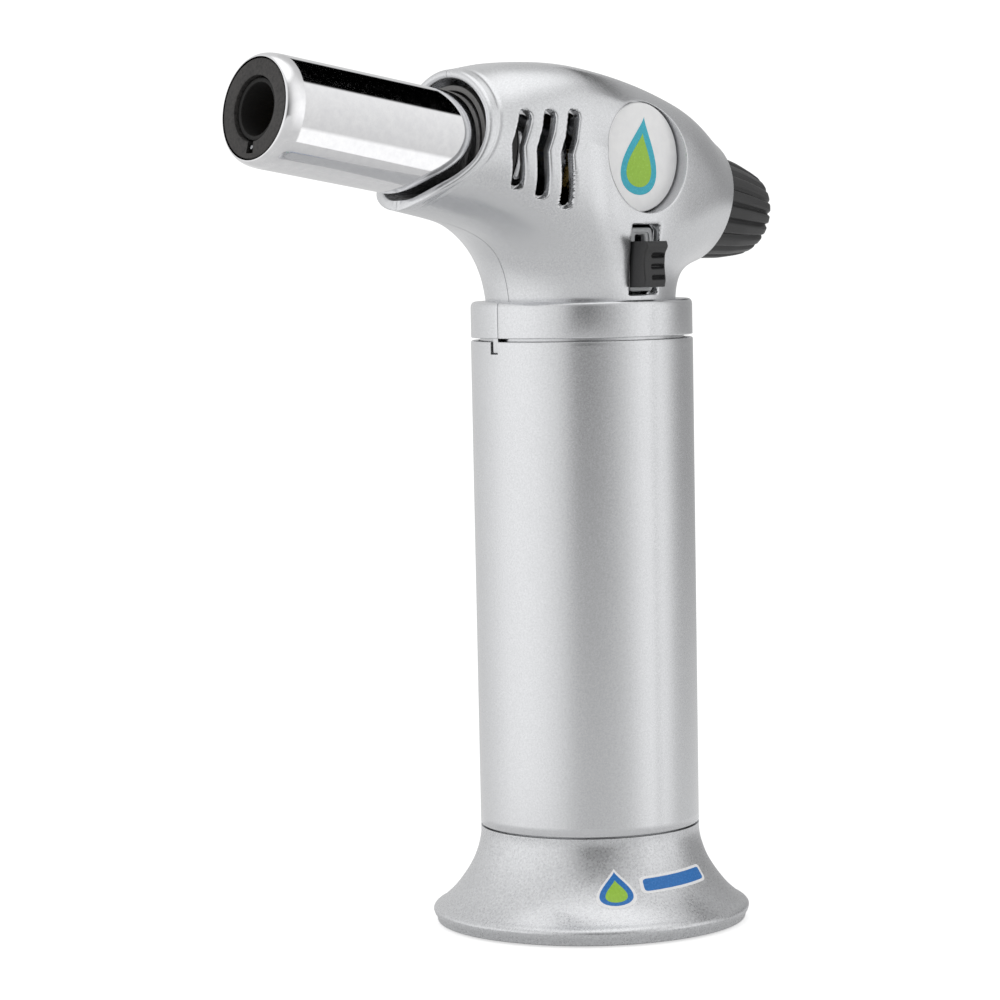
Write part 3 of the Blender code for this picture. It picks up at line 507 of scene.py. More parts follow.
def mouth_distance(x0, z0):
    """Distance to the lip of the round screw mouth at a place."""
    return lambda x, z: np.hypot(x - x0, z - z0) - MOUTH_R - MOUTH_LIP


def mouth_floor(x, z):
    """The screw mouths end on a plane, as far out everywhere."""
    return MOUTH_FLOOR + 0 * (x + z)


def collar_rows(a, swing):
    """Turned rows under the neck: spigot, collar with a rolled top edge, and the ledge up to the neck. The
    rows inside run straight up from the spigot's bore, a little inwards."""
    outline = softened([(SPIGOT_R, SPIGOT_LOW_Z, 0.3), (SPIGOT_R, COLLAR_LOW_Z, 0),
                        (COLLAR_R, COLLAR_LOW_Z, 0.25), (COLLAR_R, COLLAR_TOP_Z, 1.3), (21.0, COLLAR_TOP_Z, 0),
                        (20.45, COLLAR_TOP_Z + 0.02, 0)], per_arc=6, ring=False)
    r, z = outline[:, :1], outline[:, 1:2]
    r = r - EDGE_BREAK * (1 - ease(0, 0.004, np.minimum(a, 1 - a)))
    outer = np.stack([r * np.cos(swing), r * np.sin(swing), z + 0 * swing], -1)
    share = np.linspace(0, 1, len(outline))[:, None]
    bore = 19.8 - 1.5 * share
    climb = SPIGOT_LOW_Z + (COLLAR_TOP_Z - SPIGOT_LOW_Z - 0.8) * share
    inner = np.stack([bore * np.cos(swing), bore * np.sin(swing), climb + 0 * swing], -1)
    return outer, inner


def sink_openings(outer, inner, normal, near_side):
    """Sink vents and badge seat into either shell, the lock's slot into the near one, and into the far one
    the screw mouths, each with a post behind it. Gives the grid points that lie in a through opening."""
    gone = np.zeros(outer.shape[:2], bool)
    for index in range(3):
        gone |= sink(outer, inner, normal, vent_distance(index), VENT_LIP, VENT_SPAN) >= VENT_SPAN
    sink(outer, inner, normal, badge_distance, SEAT_LIP, SEAT_SPAN, badge_floor, BADGE_SEAT_R + SEAT_LIP)
    if near_side:
        return gone | (sink(outer, inner, normal, slot_distance, SLOT_LIP, SLOT_SPAN) >= SLOT_SPAN)
    for x0, z0 in SCREW_PLACES:
        reach = np.hypot(inner[..., 0] - x0, inner[..., 2] - z0)
        inner[..., 1] += (-POST_END - inner[..., 1]) * (1 - ease(4.2, 5.2, reach))
        sink(outer, inner, normal, mouth_distance(x0, z0), MOUTH_LIP, MOUTH_SPAN, mouth_floor,
             MOUTH_R + MOUTH_LIP)
    return gone


def make_head_shells(paint):
    """Both shells from one pair of skins, the far one by turning y over, and the tab that keys head and
    body."""
    skin, back, normal, a = head_skins()
    back[0, :, 2] = COLLAR_TOP_Z
    low_outer, low_inner = collar_rows(a, math.pi * (1 + a))
    for side, name in ((-1, "head_shell_left"), (1, "head_shell_right")):
        outer, inner = skin.copy(), back.copy()
        gone = sink_openings(outer, inner, normal, side < 0)
        outer = np.concatenate([low_outer, outer])
        inner = np.concatenate([low_inner, inner])
        for points in (outer, inner):
            points[..., 1] = np.minimum(points[..., 1], -PARTING)
        gone = np.concatenate([np.zeros(low_outer.shape[:2], bool), gone])
        lost = gone[:-1, :-1] & gone[1:, :-1] & gone[:-1, 1:] & gone[1:, 1:]
        points, faces = two_skins(outer, inner, ~lost)
        points = points * np.array([1, -side, 1])
        add_piece(name, upright(points), faces, "root", paint, [name], sharp=50)
    tab = softened([(-23.3, 123.0, 0.2), (-21.9, 123.0, 0), (-21.9, 126.4, 0), (-23.3, 126.4, 0)], per_arc=3)
    front = np.stack([tab[:, 0], np.full(len(tab), 0.3), tab[:, 1]], -1)
    rear = front + np.array([0, 1.5, 0])
    loop = np.stack([np.repeat(front.mean(0)[None], len(tab), 0), front, rear,
                     np.repeat(rear.mean(0)[None], len(tab), 0)])
    add_piece("head_locating_tab", upright(loop), grid_faces(4, len(tab), ring_cols=True), "root",
              paint, ["head_shell_right"])


# ---------------------------------------------------------------- body and base

def make_sleeve(paint):
    """A tube with broken edges and one small notch at its top, where the head's tab drops in."""
    notch = np.array([math.pi - 0.097, math.pi + 0.004])
    around = np.concatenate([np.linspace(*notch, 4)[:-1],
                             np.linspace(notch[1], notch[0] + 2 * math.pi, 158)[:-1]])
    low, high, edge = SLEEVE_LOW[2], BODY_TOP_Z, 0.35
    notch_z = high - NOTCH_DEPTH
    z = np.concatenate([low + edge * np.array([0, 0.3, 1]), np.linspace(low + 2, notch_z - 1, 8),
                        [notch_z], high - edge * np.array([3, 1, 0.3, 0])])
    r = BODY_R_LOW + (BODY_R_TOP - BODY_R_LOW) * (z - low) / (high - low)
    roll = edge_roll(edge, np.minimum(z - low, high - z))
    outer = np.stack([(r - roll)[:, None] * np.cos(around), (r - roll)[:, None] * np.sin(around),
                      z[:, None] + 0 * around], -1)
    inside = (r - BODY_WALL)[:, None]
    inner = np.stack([inside * np.cos(around), inside * np.sin(around), z[:, None] + 0 * around], -1)
    keep = np.ones((len(z) - 1, len(around)), bool)
    keep[z[:-1] >= notch_z, :3] = False
    points, faces = two_skins(outer, inner, keep, ring=True)
    add_piece("body_sleeve", upright(points), faces, "root", paint, ["body_sleeve"])


def make_base(paint, plastic, rubber):
    """The turned foot with its rebate for the sleeve, and the plate and rubber ring under it."""
    flare = smooth_line(FLARE, 6)
    rest = softened([(21.2, 11.6, 0), (21.2, 26.0, 0.3), (21.85, 26.0, 0.3), (21.85, BASE_SEAM_Z, 0),
                     (23.0, BASE_SEAM_Z, 0)], ring=False)
    under = softened([(33.5, 1.6, 0.12), (33.25, 0.35, 0.3), (32.2, 0.35, 0.2), (32.2, 1.5, 0),
                      (29.3, 1.5, 0), (29.3, 4.2, 0), (26.5, 6.4, 0), (24.0, 9.3, 0), (15.0, 9.3, 0),
                      (15.0, 11.6, 0)], ring=False)
    turned("base_foot", np.concatenate([rest, flare, under]), paint, steps=160)
    plate = softened([(9.0, 1.5, 0.4), (9.0, 3.5, 0), (29.0, 3.5, 0), (29.0, 1.5, 0.4)])
    turned("base_plate", plate, plastic)
    grip = softened([(29.6, 1.2, 0), (31.9, 1.2, 0), (31.9, 0.0, 0.5), (29.6, 0.0, 0.5)])
    turned("base_grip_ring", grip, rubber)


# ---------------------------------------------------------------- flame tube and burner

def make_flame_tube(chrome):
    """The tube turned in one outline: belled skirt at the rear, straight wall, and a mouth rounded
    inwards."""
    lip = MUZZLE_S
    mouth = [(TUBE_R, lip + 3.8), (TUBE_R - 0.05, lip + 2.7), (TUBE_R - 0.17, lip + 1.8),
             (TUBE_R - 0.38, lip + 1.0), (TUBE_R - 0.68, lip + 0.4), (TUBE_R - 0.95, lip + 0.12),
             (TUBE_IN_R, lip)]
    skirt_in = SKIRT_R - SKIRT_WALL
    skirt = softened([(TUBE_IN_R, SKIRT_START_S + 0.8, 0.3), (skirt_in, SKIRT_START_S + 0.8, 0.3),
                      (skirt_in, SKIRT_END_S, 0.2), (SKIRT_R, SKIRT_END_S, 0.2),
                      (SKIRT_R, SKIRT_START_S, 0.3), (TUBE_R, SKIRT_START_S, 0)], ring=False)
    wall = [(TUBE_R, s) for s in np.linspace(-30, lip + 4.4, 12)]
    outline = np.concatenate([skirt, wall, smooth_line(mouth, 5), [(TUBE_IN_R, lip + 0.6)]])
    turned("flame_tube", outline, chrome, steps=160, head=True)


def make_burner(scaled, near_black, burnt):
    """Ring round the tube, burner tube inside it, and the ring in its mouth: a flat annulus with rolled
    edges and one notch at the bottom, where the spark jumps."""
    ring_in = TUBE_R + 0.3
    ring = softened([(ring_in, -37.6, 0.3), (13.1, -37.6, 0.3), (13.1, -28.8, 0.2), (ring_in, -28.8, 0.2)])
    turned("heat_ring", ring, scaled, head=True)
    mouth_s = MUZZLE_S + 0.8
    tube = softened([(BURNER_IN_R, mouth_s, 0.25), (BURNER_IN_R, BURNER_END_S, 0),
                     (BURNER_R, BURNER_END_S, 0), (BURNER_R, mouth_s, 0.25)])
    turned("burner_tube", tube, near_black, head=True)
    r = np.array([RING_R[0], 6.7, 6.95, 7.6, 8.3, 9.0, 9.5, 9.9, 10.05, RING_R[1]])[:, None]
    angle = (np.arange(128) + 0.5) * 2 * math.pi / 128 - math.pi / 2
    roll = edge_roll(0.3, np.minimum(r - RING_R[0], RING_R[1] - r))
    front = np.stack([MUZZLE_S + roll + 0 * angle, r * np.cos(angle), r * np.sin(angle)], -1)
    back = np.stack([MUZZLE_S + 2.5 + 0 * r * angle, r * np.cos(angle), r * np.sin(angle)], -1)
    keep = np.ones((len(r) - 1, 128), bool)
    keep[:5, [125, 126, 127, 0, 1]] = False
    points, faces = two_skins(front, back, keep, ring=True)
    add_piece("muzzle_ring", along_head(points), faces, "root", burnt, ["muzzle_ring"])


# ---------------------------------------------------------------- knob, badges and lock

def make_knob(plastic):
    """Turned outline whose radius dips by a raised cosine into grooves between flat ribs, each rib rounded
    off at its rear end."""
    bore = [(0.0, 45.5), (1.8, 45.5), (1.8, 30.0)]
    skirt = softened([(10.9, 30.0, 0), (11.4, 30.0, 0.4), (11.7, 33.0, 0.3), (12.1, 33.9, 0.5),
                      (11.6, 37.0, 0)], ring=False)
    grip = smooth_line([(11.3, 39.0), (10.9, 41.5), (10.2, 44.5), (9.55, 47.0), (8.9, 48.8), (7.9, 49.9),
                        (6.6, 50.3)], 4)
    cap = [(6.0, 50.3), (5.6, 49.9), (3.0, 49.7), (0.0, 49.7)]
    outline = np.concatenate([bore, skirt, grip, cap])
    around = FLUTES * 14
    angle = np.arange(around) * 2 * math.pi / around
    phase = (angle * FLUTES / (2 * math.pi) + 0.5) % 1 - 0.5
    groove = 0.5 + 0.5 * np.cos(np.clip(np.abs(phase) / 0.27, 0, 1) * math.pi)
    r, s = outline[:, :1], outline[:, 1:2]
    outside = np.arange(len(outline))[:, None] >= len(bore)
    depth = FLUTE_DEPTH * ease(33.0, 34.4, s) * ease(6.0, 7.6, r) * outside
    radius = r - depth * groove
    points = np.stack([s + 0 * angle, radius * np.cos(angle), radius * np.sin(angle) + KNOB_T], -1)
    add_piece("ignition_knob", along_head(points), grid_faces(len(outline), around, ring_cols=True), "knob",
              plastic, ["ignition_knob"], sharp=40)


def badge_place(side, p, q, h):
    """Point of the badge's own frame: p rearward, q up, h out from its back, in the head's frame."""
    c, s = math.cos(BADGE_LEAN), math.sin(BADGE_LEAN)
    return np.stack([BADGE_S + p * c + h * s, side * (BADGE_BACK - p * s + h * c), BADGE_T + q], -1)


def badge_crown(r):
    """Height of the badge's gently domed face above its back."""
    return BADGE_THICK - 0.0017 * r * r


def drop_outline(height, count=96):
    """A drop standing on its round end: sin(u) sin(u/2)^1.6 wide, cos(u) high."""
    u = np.arange(count) * 2 * math.pi / count
    wide = np.sin(u) * np.abs(np.sin(u / 2)) ** 1.6
    return np.stack([0.47 * height * wide, 0.5 * height * np.cos(u)], -1)


def evened(outline, count=240):
    """The closed outline again, with points at even distances along it."""
    closed = np.concatenate([outline, outline[:1]])
    way = np.concatenate([[0], np.cumsum(np.linalg.norm(np.diff(closed, axis=0), axis=1))])
    at = np.linspace(0, way[-1], count + 1)[:-1]
    return np.stack([np.interp(at, way, closed[:, 0]), np.interp(at, way, closed[:, 1])], -1)


def rounded_bar(x0, x1, half, corner):
    """Outline of a bar with round corners, lying along x."""
    corners = [(x0, -half, corner), (x1, -half, corner), (x1, half, corner), (x0, half, corner)]
    return softened(corners, per_arc=8)


def filled(outline, centre, rings=10):
    """Grid from a centre point out to an outline: rows by share of the way."""
    share = np.linspace(0, 1, rings + 1)[:, None, None]
    return centre + (outline[None] - centre) * share


def make_badges(white, teal, lime):
    """A turned disc with a domed face on either flank, and on it a drop inside a drop, as thin layers of
    ink."""
    rim = np.array([(11.2, 1.0), (11.4, 0.86), (BADGE_R, 0.6), (BADGE_R, 0.15), (BADGE_R - 0.15, 0.0),
                    (0.0, 0.0)])
    r = np.linspace(0, 10.9, 10)
    outline = np.concatenate([np.column_stack([r, badge_crown(r)]), rim])
    disc = circle(outline, 128)
    emblem = (("drop", teal, drop_outline(16.4), np.array([0.0, -2.6]), 0.03),
              ("core", lime, drop_outline(11.4) + np.array([0.0, -0.9]), np.array([0.0, -2.6]), 0.06))
    for side, name in ((-1, "badge_left"), (1, "badge_right")):
        points = along_head(badge_place(side, disc[..., 0], disc[..., 1], disc[..., 2]))
        faces = grid_faces(len(outline), 128, ring_cols=True)
        add_piece(name, points, faces, "root", white, [name])
        for part, ink, shape, centre, lift in emblem:
            flat = filled(shape + np.array([0.0, 0.3]), centre)
            crown = badge_crown(np.hypot(flat[..., 0], flat[..., 1]))
            top = along_head(badge_place(side, flat[..., 0], flat[..., 1], crown + lift))
            low = along_head(badge_place(side, flat[..., 0], flat[..., 1], crown + lift - PRINT_THICK))
            points, faces = two_skins(top, low, ring=True)
            add_piece(f"{name}_{part}", points, faces, "root", ink)


def flare_radius(z):
    """The base's outer radius at a height."""
    outline = smooth_line(FLARE[:-1], 8)[::-1]
    return np.interp(z, outline[:, 1], outline[:, 0])


def make_base_print(white, blue, lime):
    """A printed drop and a plain bar on the flare, each with a border: laid out flat as (along, up) on a
    line that climbs to the rear, then wrapped on the flare."""
    start, middle_z, climb = math.radians(-120.5), 11.1, 0.05

    def wrapped(flat, lift):
        """Along becomes an angle round the body, up a height that the slope of the flare shortens."""
        z = middle_z + 0.62 * (flat[..., 1] + climb * flat[..., 0])
        r = flare_radius(z) + lift
        angle = start + flat[..., 0] / 25.5
        return upright(np.stack([r * np.cos(angle), r * np.sin(angle), z], -1))

    bar_middle = np.array([14.5, 0.0])
    shapes = (("drop_border", white, drop_outline(12.4), np.array([0.0, -2.0]), 0.04),
              ("drop", blue, drop_outline(10.4) - np.array([0.0, 0.1]), np.array([0.0, -2.0]), 0.07),
              ("drop_core", lime, drop_outline(6.8) - np.array([0.0, 0.9]), np.array([0.0, -2.0]), 0.10),
              ("bar_border", white, evened(rounded_bar(5.2, 23.6, 2.7, 1.6)), bar_middle, 0.04),
              ("bar", blue, evened(rounded_bar(6.0, 22.8, 1.9, 1.0)), bar_middle, 0.07))
    for part, ink, shape, centre, lift in shapes:
        flat = filled(shape, centre, 12)
        points, faces = two_skins(wrapped(flat, lift), wrapped(flat, lift - PRINT_THICK), ring=True)
        add_piece(f"base_print_{part}", points, faces, "root", ink)


def block_skins(x, z, face, depth_back, roll):
    """A block as a height field: the front face rounded off along its border, and a flat back."""
    gx, gz = np.meshgrid(x, z)
    border = np.minimum(np.minimum(gx - x[0], x[-1] - gx), np.minimum(gz - z[0], z[-1] - gz))
    front = np.stack([gx, face(gx, gz) + edge_roll(roll, border), gz], -1)
    rear = np.stack([gx, depth_back + 0 * gx, gz], -1)
    return two_skins(front, rear)


def fine_ends(low, high, count, edge=0.5):
    """Even steps from low to high, with short ones over the edge at either end."""
    return np.concatenate([low + zones((edge, 6))[:-1], np.linspace(low + edge, high - edge, count),
                           high - edge + zones((edge, 6))[1:]])


def slider_face(x, z):
    """A thumb hollow under a proud upper lip, less three short bell-shaped grooves on its rear half."""
    up = z - SLIDER_Z[0]
    hollow = through((0, 1.5, 3.5, 5.5, 7.2, 8.4, 9.6), (-23.8, -24.1, -23.9, -23.9, -24.2, -24.9, -24.6), up)
    cut = sum(np.exp(-((up - height) / 0.42) ** 2) for height in (2.0, 4.3, 6.6))
    return hollow + np.minimum(cut, 1) * ease(-1.6, -0.9, x) * (1 - ease(2.2, 2.55, x))


def make_slider(black):
    """The thumb piece, and the neck and foot that hold it in its slot."""
    x, z = fine_ends(*SLIDER_X, 30), fine_ends(*SLIDER_Z, 70)
    points, faces = block_skins(x, z, slider_face, TRACK_Y - 0.3, 0.5)
    add_piece("lock_slider", upright(points), faces, "lock", black, ["lock_slider"],
              sharp=40)
    for name, half_w, z0, z1, y0, y1 in (("lock_slider_neck", 1.1, 138.3, 143.9, -19.6, -16.2),
                                         ("lock_slider_foot", 2.5, 137.3, 144.9, -16.9, -15.7)):
        points, faces = block_skins(np.linspace(-half_w, half_w, 8), np.linspace(z0, z1, 12),
                                    lambda gx, gz: y0 + 0 * gx, y1, 0.25)
        add_piece(name, upright(points), faces, "lock", black, ["lock_slider"])


def make_track(clear):
    """The frame that the slider runs in: loops |x/w|^9 + |z/h|^9 = 1, from its back round a raised border
    and a step down to the window."""
    half_w, half_h = (SLOT_W - 1.3) / 2, (SLOT_H - 1.3) / 2
    u = np.linspace(0, 2 * math.pi, 129)[:-1]
    wide = np.sign(np.cos(u)) * np.abs(np.cos(u)) ** (2 / 9)
    tall = np.sign(np.sin(u)) * np.abs(np.sin(u)) ** (2 / 9)
    loops = [(half_w, half_h, 1.6), (half_w, half_h, 0.2), (half_w - 0.2, half_h - 0.2, 0),
             (half_w - 0.9, half_h - 0.9, 0), (half_w - 1.0, half_h - 1.0, 0.3), (1.6, 5.4, 0.3),
             (1.4, 5.2, 0.5), (1.4, 5.2, 1.6)]
    points = np.stack([np.stack([w * wide, TRACK_Y + y + 0 * u, SLOT_Z + h * tall], -1) for w, h, y in loops])
    faces = grid_faces(len(loops), 128, ring_rows=True, ring_cols=True)
    add_piece("lock_track", upright(points), faces, "root", clear, ["lock_track"], sharp=40)


def make_screws(steel):
    """Screws with a cross recess: the head's face is a grid that dips along two crossing bars. The base
    screws have the same rows, with a flatter head and a shorter shank."""
    r = np.concatenate([zones((2.1, 14)), [2.25, 2.4, 2.5, 2.6, 2.6]])[:, None]
    angle = np.arange(96) * 2 * math.pi / 96
    rise = np.concatenate([np.zeros(15), [0.02, 0.1, 0.22, 0.45, 1.7]])[:, None]
    px, py = r * np.cos(angle), r * np.sin(angle)
    cross = np.minimum(np.maximum(np.abs(px), np.abs(py) * 4.2), np.maximum(np.abs(py), np.abs(px) * 4.2))
    dip = 0.9 * (1 - ease(1.2, 1.55, cross))
    head = np.stack([px, py, rise + dip], -1)
    shank = circle(np.array([(SHANK_R, 1.7), (SHANK_R, 17.0), (0.0, 17.3)]), 96)
    points = np.concatenate([head, shank])
    faces = grid_faces(len(points), 96, ring_cols=True)
    for index, (x, z) in enumerate(SCREW_PLACES, 1):
        placed = np.stack([points[..., 0] + x, 10.0 - points[..., 2], points[..., 1] + z], -1)
        name = f"shell_screw_{index}"
        add_piece(name, upright(placed), faces, "root", steel, [name])
    for index, q in enumerate(np.radians([90, 210, 330]), 1):
        short = points.copy()
        short[-3:, :, 2] = np.array([0.9, 6.2, 6.7])[:, None]
        short[:len(head), :, 2] *= 0.9 / 1.7
        x = BASE_SCREW_RING_R * math.cos(q)
        y = BASE_SCREW_RING_R * math.sin(q)
        placed = np.stack([short[..., 0] + x, y - short[..., 1], short[..., 2] + 1.5], -1)
        name = f"base_screw_{index}"
        add_piece(name, upright(placed), faces, "root", steel, [name])


# ---------------------------------------------------------------- materials

def colour(hex_value):
    """An sRGB hex colour in linear values."""
    parts = [int(hex_value[i:i + 2], 16) / 255 for i in (1, 3, 5)]
    return [p / 12.92 if p <= 0.04045 else ((p + 0.055) / 1.055) ** 2.4 for p in parts] + [1.0]


def add_node(tree, kind, inputs=None, **settings):
    """One node: inputs are values or (node, output) links by socket, settings its own properties, and stops
    the places and colours of a ramp, first and last before the others."""
    made = tree.nodes.new(kind)
    for key, value in settings.items():
        if key == "stops":
            for k, (place, shade) in enumerate(value):
                stop = made.color_ramp.elements[k] if k < 2 else made.color_ramp.elements.new(place)
                stop.position, stop.color = place, shade
        else:
            setattr(made, key, value)
    for socket, value in (inputs or {}).items():
        if isinstance(value, tuple) and isinstance(value[0], bpy.types.Node):
            tree.links.new(value[0].outputs[value[1]], made.inputs[socket])
        else:
            made.inputs[socket].default_value = value
    return made


def finish(name, dark, light, rough, grain_mm, metallic=0.0, rough_spread=0.05, bump_mm=0.01,
           stretch=(1, 1, 1), cloud_share=0.25, sockets=None):
    """A surface whose colour, gloss and height follow one grain of the given size. A share of the colour
    follows a soft cloud thirty times as wide instead. Sockets that are the same all over are set on the
    shader."""
    material = bpy.data.materials.new(name)
    material.use_nodes = True
    tree = material.node_tree
    shader = tree.nodes["Principled BSDF"]
    place = add_node(tree, "ShaderNodeTexCoord")
    spread = add_node(tree, "ShaderNodeMapping", {"Vector": (place, "Object"), "Scale": stretch})
    grain = add_node(tree, "ShaderNodeTexNoise", {"Vector": (spread, "Vector"), "Scale": 1 / (grain_mm * MM),
                                                  "Detail": 3.0, "Roughness": 0.6})
    cloud = add_node(tree, "ShaderNodeTexNoise", {"Vector": (place, "Object"), "Detail": 2.0,
                                                  "Scale": 1 / (30 * grain_mm * MM)})
    mixed = add_node(tree, "ShaderNodeMix", {0: cloud_share, 2: (grain, 0), 3: (cloud, 0)})
    level = add_node(tree, "ShaderNodeMapRange", {"Value": (mixed, 0), "From Min": 0.35, "From Max": 0.65})
    tint = add_node(tree, "ShaderNodeMix", {0: (level, 0), 6: colour(dark), 7: colour(light)},
                    data_type="RGBA")
    gloss = add_node(tree, "ShaderNodeMapRange", {"Value": (grain, 0), "From Min": 0.3, "From Max": 0.7,
                                                  "To Min": rough - rough_spread,
                                                  "To Max": rough + rough_spread})
    relief = add_node(tree, "ShaderNodeBump", {"Height": (grain, 0), "Strength": 1.0,
                                               "Distance": bump_mm * MM})
    tree.links.new(tint.outputs[2], shader.inputs["Base Color"])
    tree.links.new(gloss.outputs[0], shader.inputs["Roughness"])
    tree.links.new(relief.outputs[0], shader.inputs["Normal"])
    shader.inputs["Metallic"].default_value = metallic
    for socket, value in (sockets or {}).items():
        shader.inputs[socket].default_value = value
    return material


def make_finishes():
    """The torch's finishes, each by its common name."""
    finishes = {
        # Metallic lacquer sprayed on moulded parts: aluminium flake under a satin clear coat, a fine sparkle
        "paint": finish("satin_aluminium_lacquer", "#D0D1D3", "#DCDDDF", 0.24, 0.35, metallic=0.94,
                        rough_spread=0.03, bump_mm=0.002, cloud_share=0.1,
                        sockets={"Coat Weight": 0.12, "Coat Roughness": 0.22}),
        # The same lacquer over a blasted die casting: coarser grain, softer gloss
        "blasted": finish("blasted_aluminium_lacquer", "#C4C5C7", "#DEDFE1", 0.30, 0.45, metallic=0.92,
                          rough_spread=0.05, bump_mm=0.005, cloud_share=0.1),
        # Decorative chromium plate on drawn steel tube: mirror gloss with a trace of polishing haze
        "chrome": finish("bright_chrome_plate", "#E6E6E8", "#EEEEEF", 0.05, 1.5, metallic=1.0,
                         rough_spread=0.02, bump_mm=0.0006),
        # Mild steel blackened by heat: matt oxide with a brownish cloud
        "burnt": finish("heat_blackened_steel", "#2C2B2B", "#4C4A49", 0.52, 0.7, metallic=0.55,
                        rough_spread=0.1, bump_mm=0.03),
        # Steel ring with blue-grey heat scale, lighter than the muzzle
        "scaled": finish("heat_scaled_steel", "#666564", "#7B7A79", 0.45, 0.8, metallic=0.6, rough_spread=0.1,
                         bump_mm=0.01),
        # Burner tube with its mouth: nearly black, and dull all over
        "near_black": finish("near_black_steel", "#0D0C0C", "#1A1918", 0.75, 0.5, rough_spread=0.1, bump_mm=0.02),
        # Moulded ABS in black with a spark-eroded texture: even, dry sheen
        "abs": finish("moulded_black_abs", "#242425", "#303031", 0.38, 0.3, rough_spread=0.06, bump_mm=0.01),
        # Moulded acetal: mid grey, slightly waxy, almost without grain
        "acetal": finish("moulded_grey_acetal", "#6C6F73", "#7C7F83", 0.42, 0.8, rough_spread=0.05),
        # Moulded polycarbonate: clear with a grey cast
        "clear": finish("clear_polycarbonate", "#D3D6D8", "#E6E8E9", 0.12, 1.2, rough_spread=0.04,
                        bump_mm=0.002, sockets={"Transmission Weight": 0.3, "IOR": 1.58}),
        # Polished white ABS: a clean highlight on the badge's dome
        "white": finish("gloss_white_abs", "#F1F1F2", "#F8F8F8", 0.16, 2.5, rough_spread=0.03, bump_mm=0.002,
                        sockets={"Coat Weight": 0.3, "Coat Roughness": 0.06}),
        # Machined brass, turned: fine rings with a warm, slightly tarnished tone
        "brass": finish("turned_brass", "#B08D4A", "#CDAE68", 0.28, 0.6, metallic=1.0, rough_spread=0.08,
                        bump_mm=0.006),
        # Zinc plate on cold-headed steel: pale grey with a patchy gloss
        "steel": finish("zinc_plated_steel", "#9FA1A4", "#BFC1C4", 0.32, 0.7, metallic=1.0, rough_spread=0.1,
                        bump_mm=0.008),
        # Deep-drawn aluminium: soft sheen in streaks along the draw
        "aluminium": finish("drawn_aluminium", "#A9ABAE", "#C3C5C8", 0.34, 0.5, metallic=1.0,
                            rough_spread=0.07, bump_mm=0.008, stretch=(1, 1, 0.1)),
        # Fired alumina, unglazed: off-white and eggshell dull
        "ceramic": finish("fired_alumina", "#DDD8CD", "#EFEBE2", 0.4, 0.6, rough_spread=0.08, bump_mm=0.01),
        # Compression-moulded nitrile rubber: black, matt, faintly dusty
        "rubber": finish("moulded_nitrile_rubber", "#1B1B1C", "#262627", 0.7, 0.5, rough_spread=0.1,
                         bump_mm=0.03),
        # Pressed wool felt: undyed, with a soft halo of loose fibres
        "felt": finish("pressed_wool_felt", "#BDB6A6", "#DAD4C6", 0.9, 0.4, rough_spread=0.05, bump_mm=0.08,
                       sockets={"Sheen Weight": 0.5}),
        # Extruded PVC on the spark lead: plain red, smooth
        "lead": finish("extruded_red_pvc", "#8E1A16", "#A82620", 0.4, 0.6, rough_spread=0.05),
    }
    # Pad-printed inks: flat colour a little glossier than the part, with a barely uneven film
    for ink, dark, light, rough in (("white", "#F2F2F3", "#FAFAFA", 0.3),
                                    ("teal", "#2AA9BF", "#37BACF", 0.24),
                                    ("lime", "#94C336", "#A3D043", 0.24),
                                    ("blue", "#176AB6", "#2179C6", 0.26)):
        finishes[f"{ink}_ink"] = finish(f"printed_{ink}_ink", dark, light, rough, 0.5, rough_spread=0.05,
                                        bump_mm=0.003)
    return finishes


# The model's own pieces that stay as they are, by finish
INNER_FINISH = {
    "brass": ("refill_valve_body", "refill_valve_stem", "outlet_valve_body", "flame_holder", "mixing_tube",
              "gas_jet", "flow_valve_block", "flow_spindle"),
    "steel": ("refill_valve_spring", "outlet_valve_stem", "valve_bracket", "valve_lever", "lever_pin",
              "burner_mount", "igniter_return_spring", "electrode"),
    "aluminium": ("tank_cup", "tank_lid"),
    "felt": ("gas_wick",),
    "rubber": ("gas_hose",),
    "abs": ("piezo_body",),
    "white": ("piezo_plunger",),
    "acetal": ("igniter_carriage",),
    "ceramic": ("electrode_insulator",),
    "lead": ("ignition_lead",),
}


# ---------------------------------------------------------------- camera, stage and light

CAMERA_AZIMUTH = math.radians(-41.614)      # where the camera stands, and its turn away from the body's axis
CAMERA_AWAY = 754.14
CAMERA_HEIGHT = 146.36
CAMERA_YAW = math.radians(1.38)
CAMERA_PITCH = math.radians(4.199)
CAMERA_ROLL = math.radians(-1.069)
LENS_MM = 126.67
SENSOR_MM = 36.0
FLOOR_R = 110.0
TUBE_CONE = 0.608         # cosine to the tube's axis of the directions that the tube mirrors to the camera
TUBE_CONE_HALF = 0.04


def make_camera():
    """A camera at the stated place, its axes worked out from heading, pitch and roll."""
    heading = CAMERA_AZIMUTH + CAMERA_YAW
    level_way = math.cos(CAMERA_PITCH)
    forward = np.array([-math.sin(heading) * level_way, math.cos(heading) * level_way, -math.sin(CAMERA_PITCH)])
    level = np.array([math.cos(heading), math.sin(heading), 0])
    up = np.cross(level, forward)
    c, s = math.cos(CAMERA_ROLL), math.sin(CAMERA_ROLL)
    right, top = level * c + up * s, up * c - level * s
    place = upright(np.array([math.sin(CAMERA_AZIMUTH) * CAMERA_AWAY, -math.cos(CAMERA_AZIMUTH) * CAMERA_AWAY,
                              CAMERA_HEIGHT])) * MM
    data = bpy.data.cameras.new("camera")
    data.lens = LENS_MM
    data.sensor_width = SENSOR_MM
    data.clip_start = 0.01
    camera = bpy.data.objects.new("camera", data)
    matrix = np.eye(4)
    matrix[:3, :3] = np.column_stack([right, top, -forward])
    matrix[:3, 3] = place
    camera.matrix_world = Matrix(matrix.tolist())
    bpy.context.scene.collection.objects.link(camera)
    bpy.context.scene.camera = camera


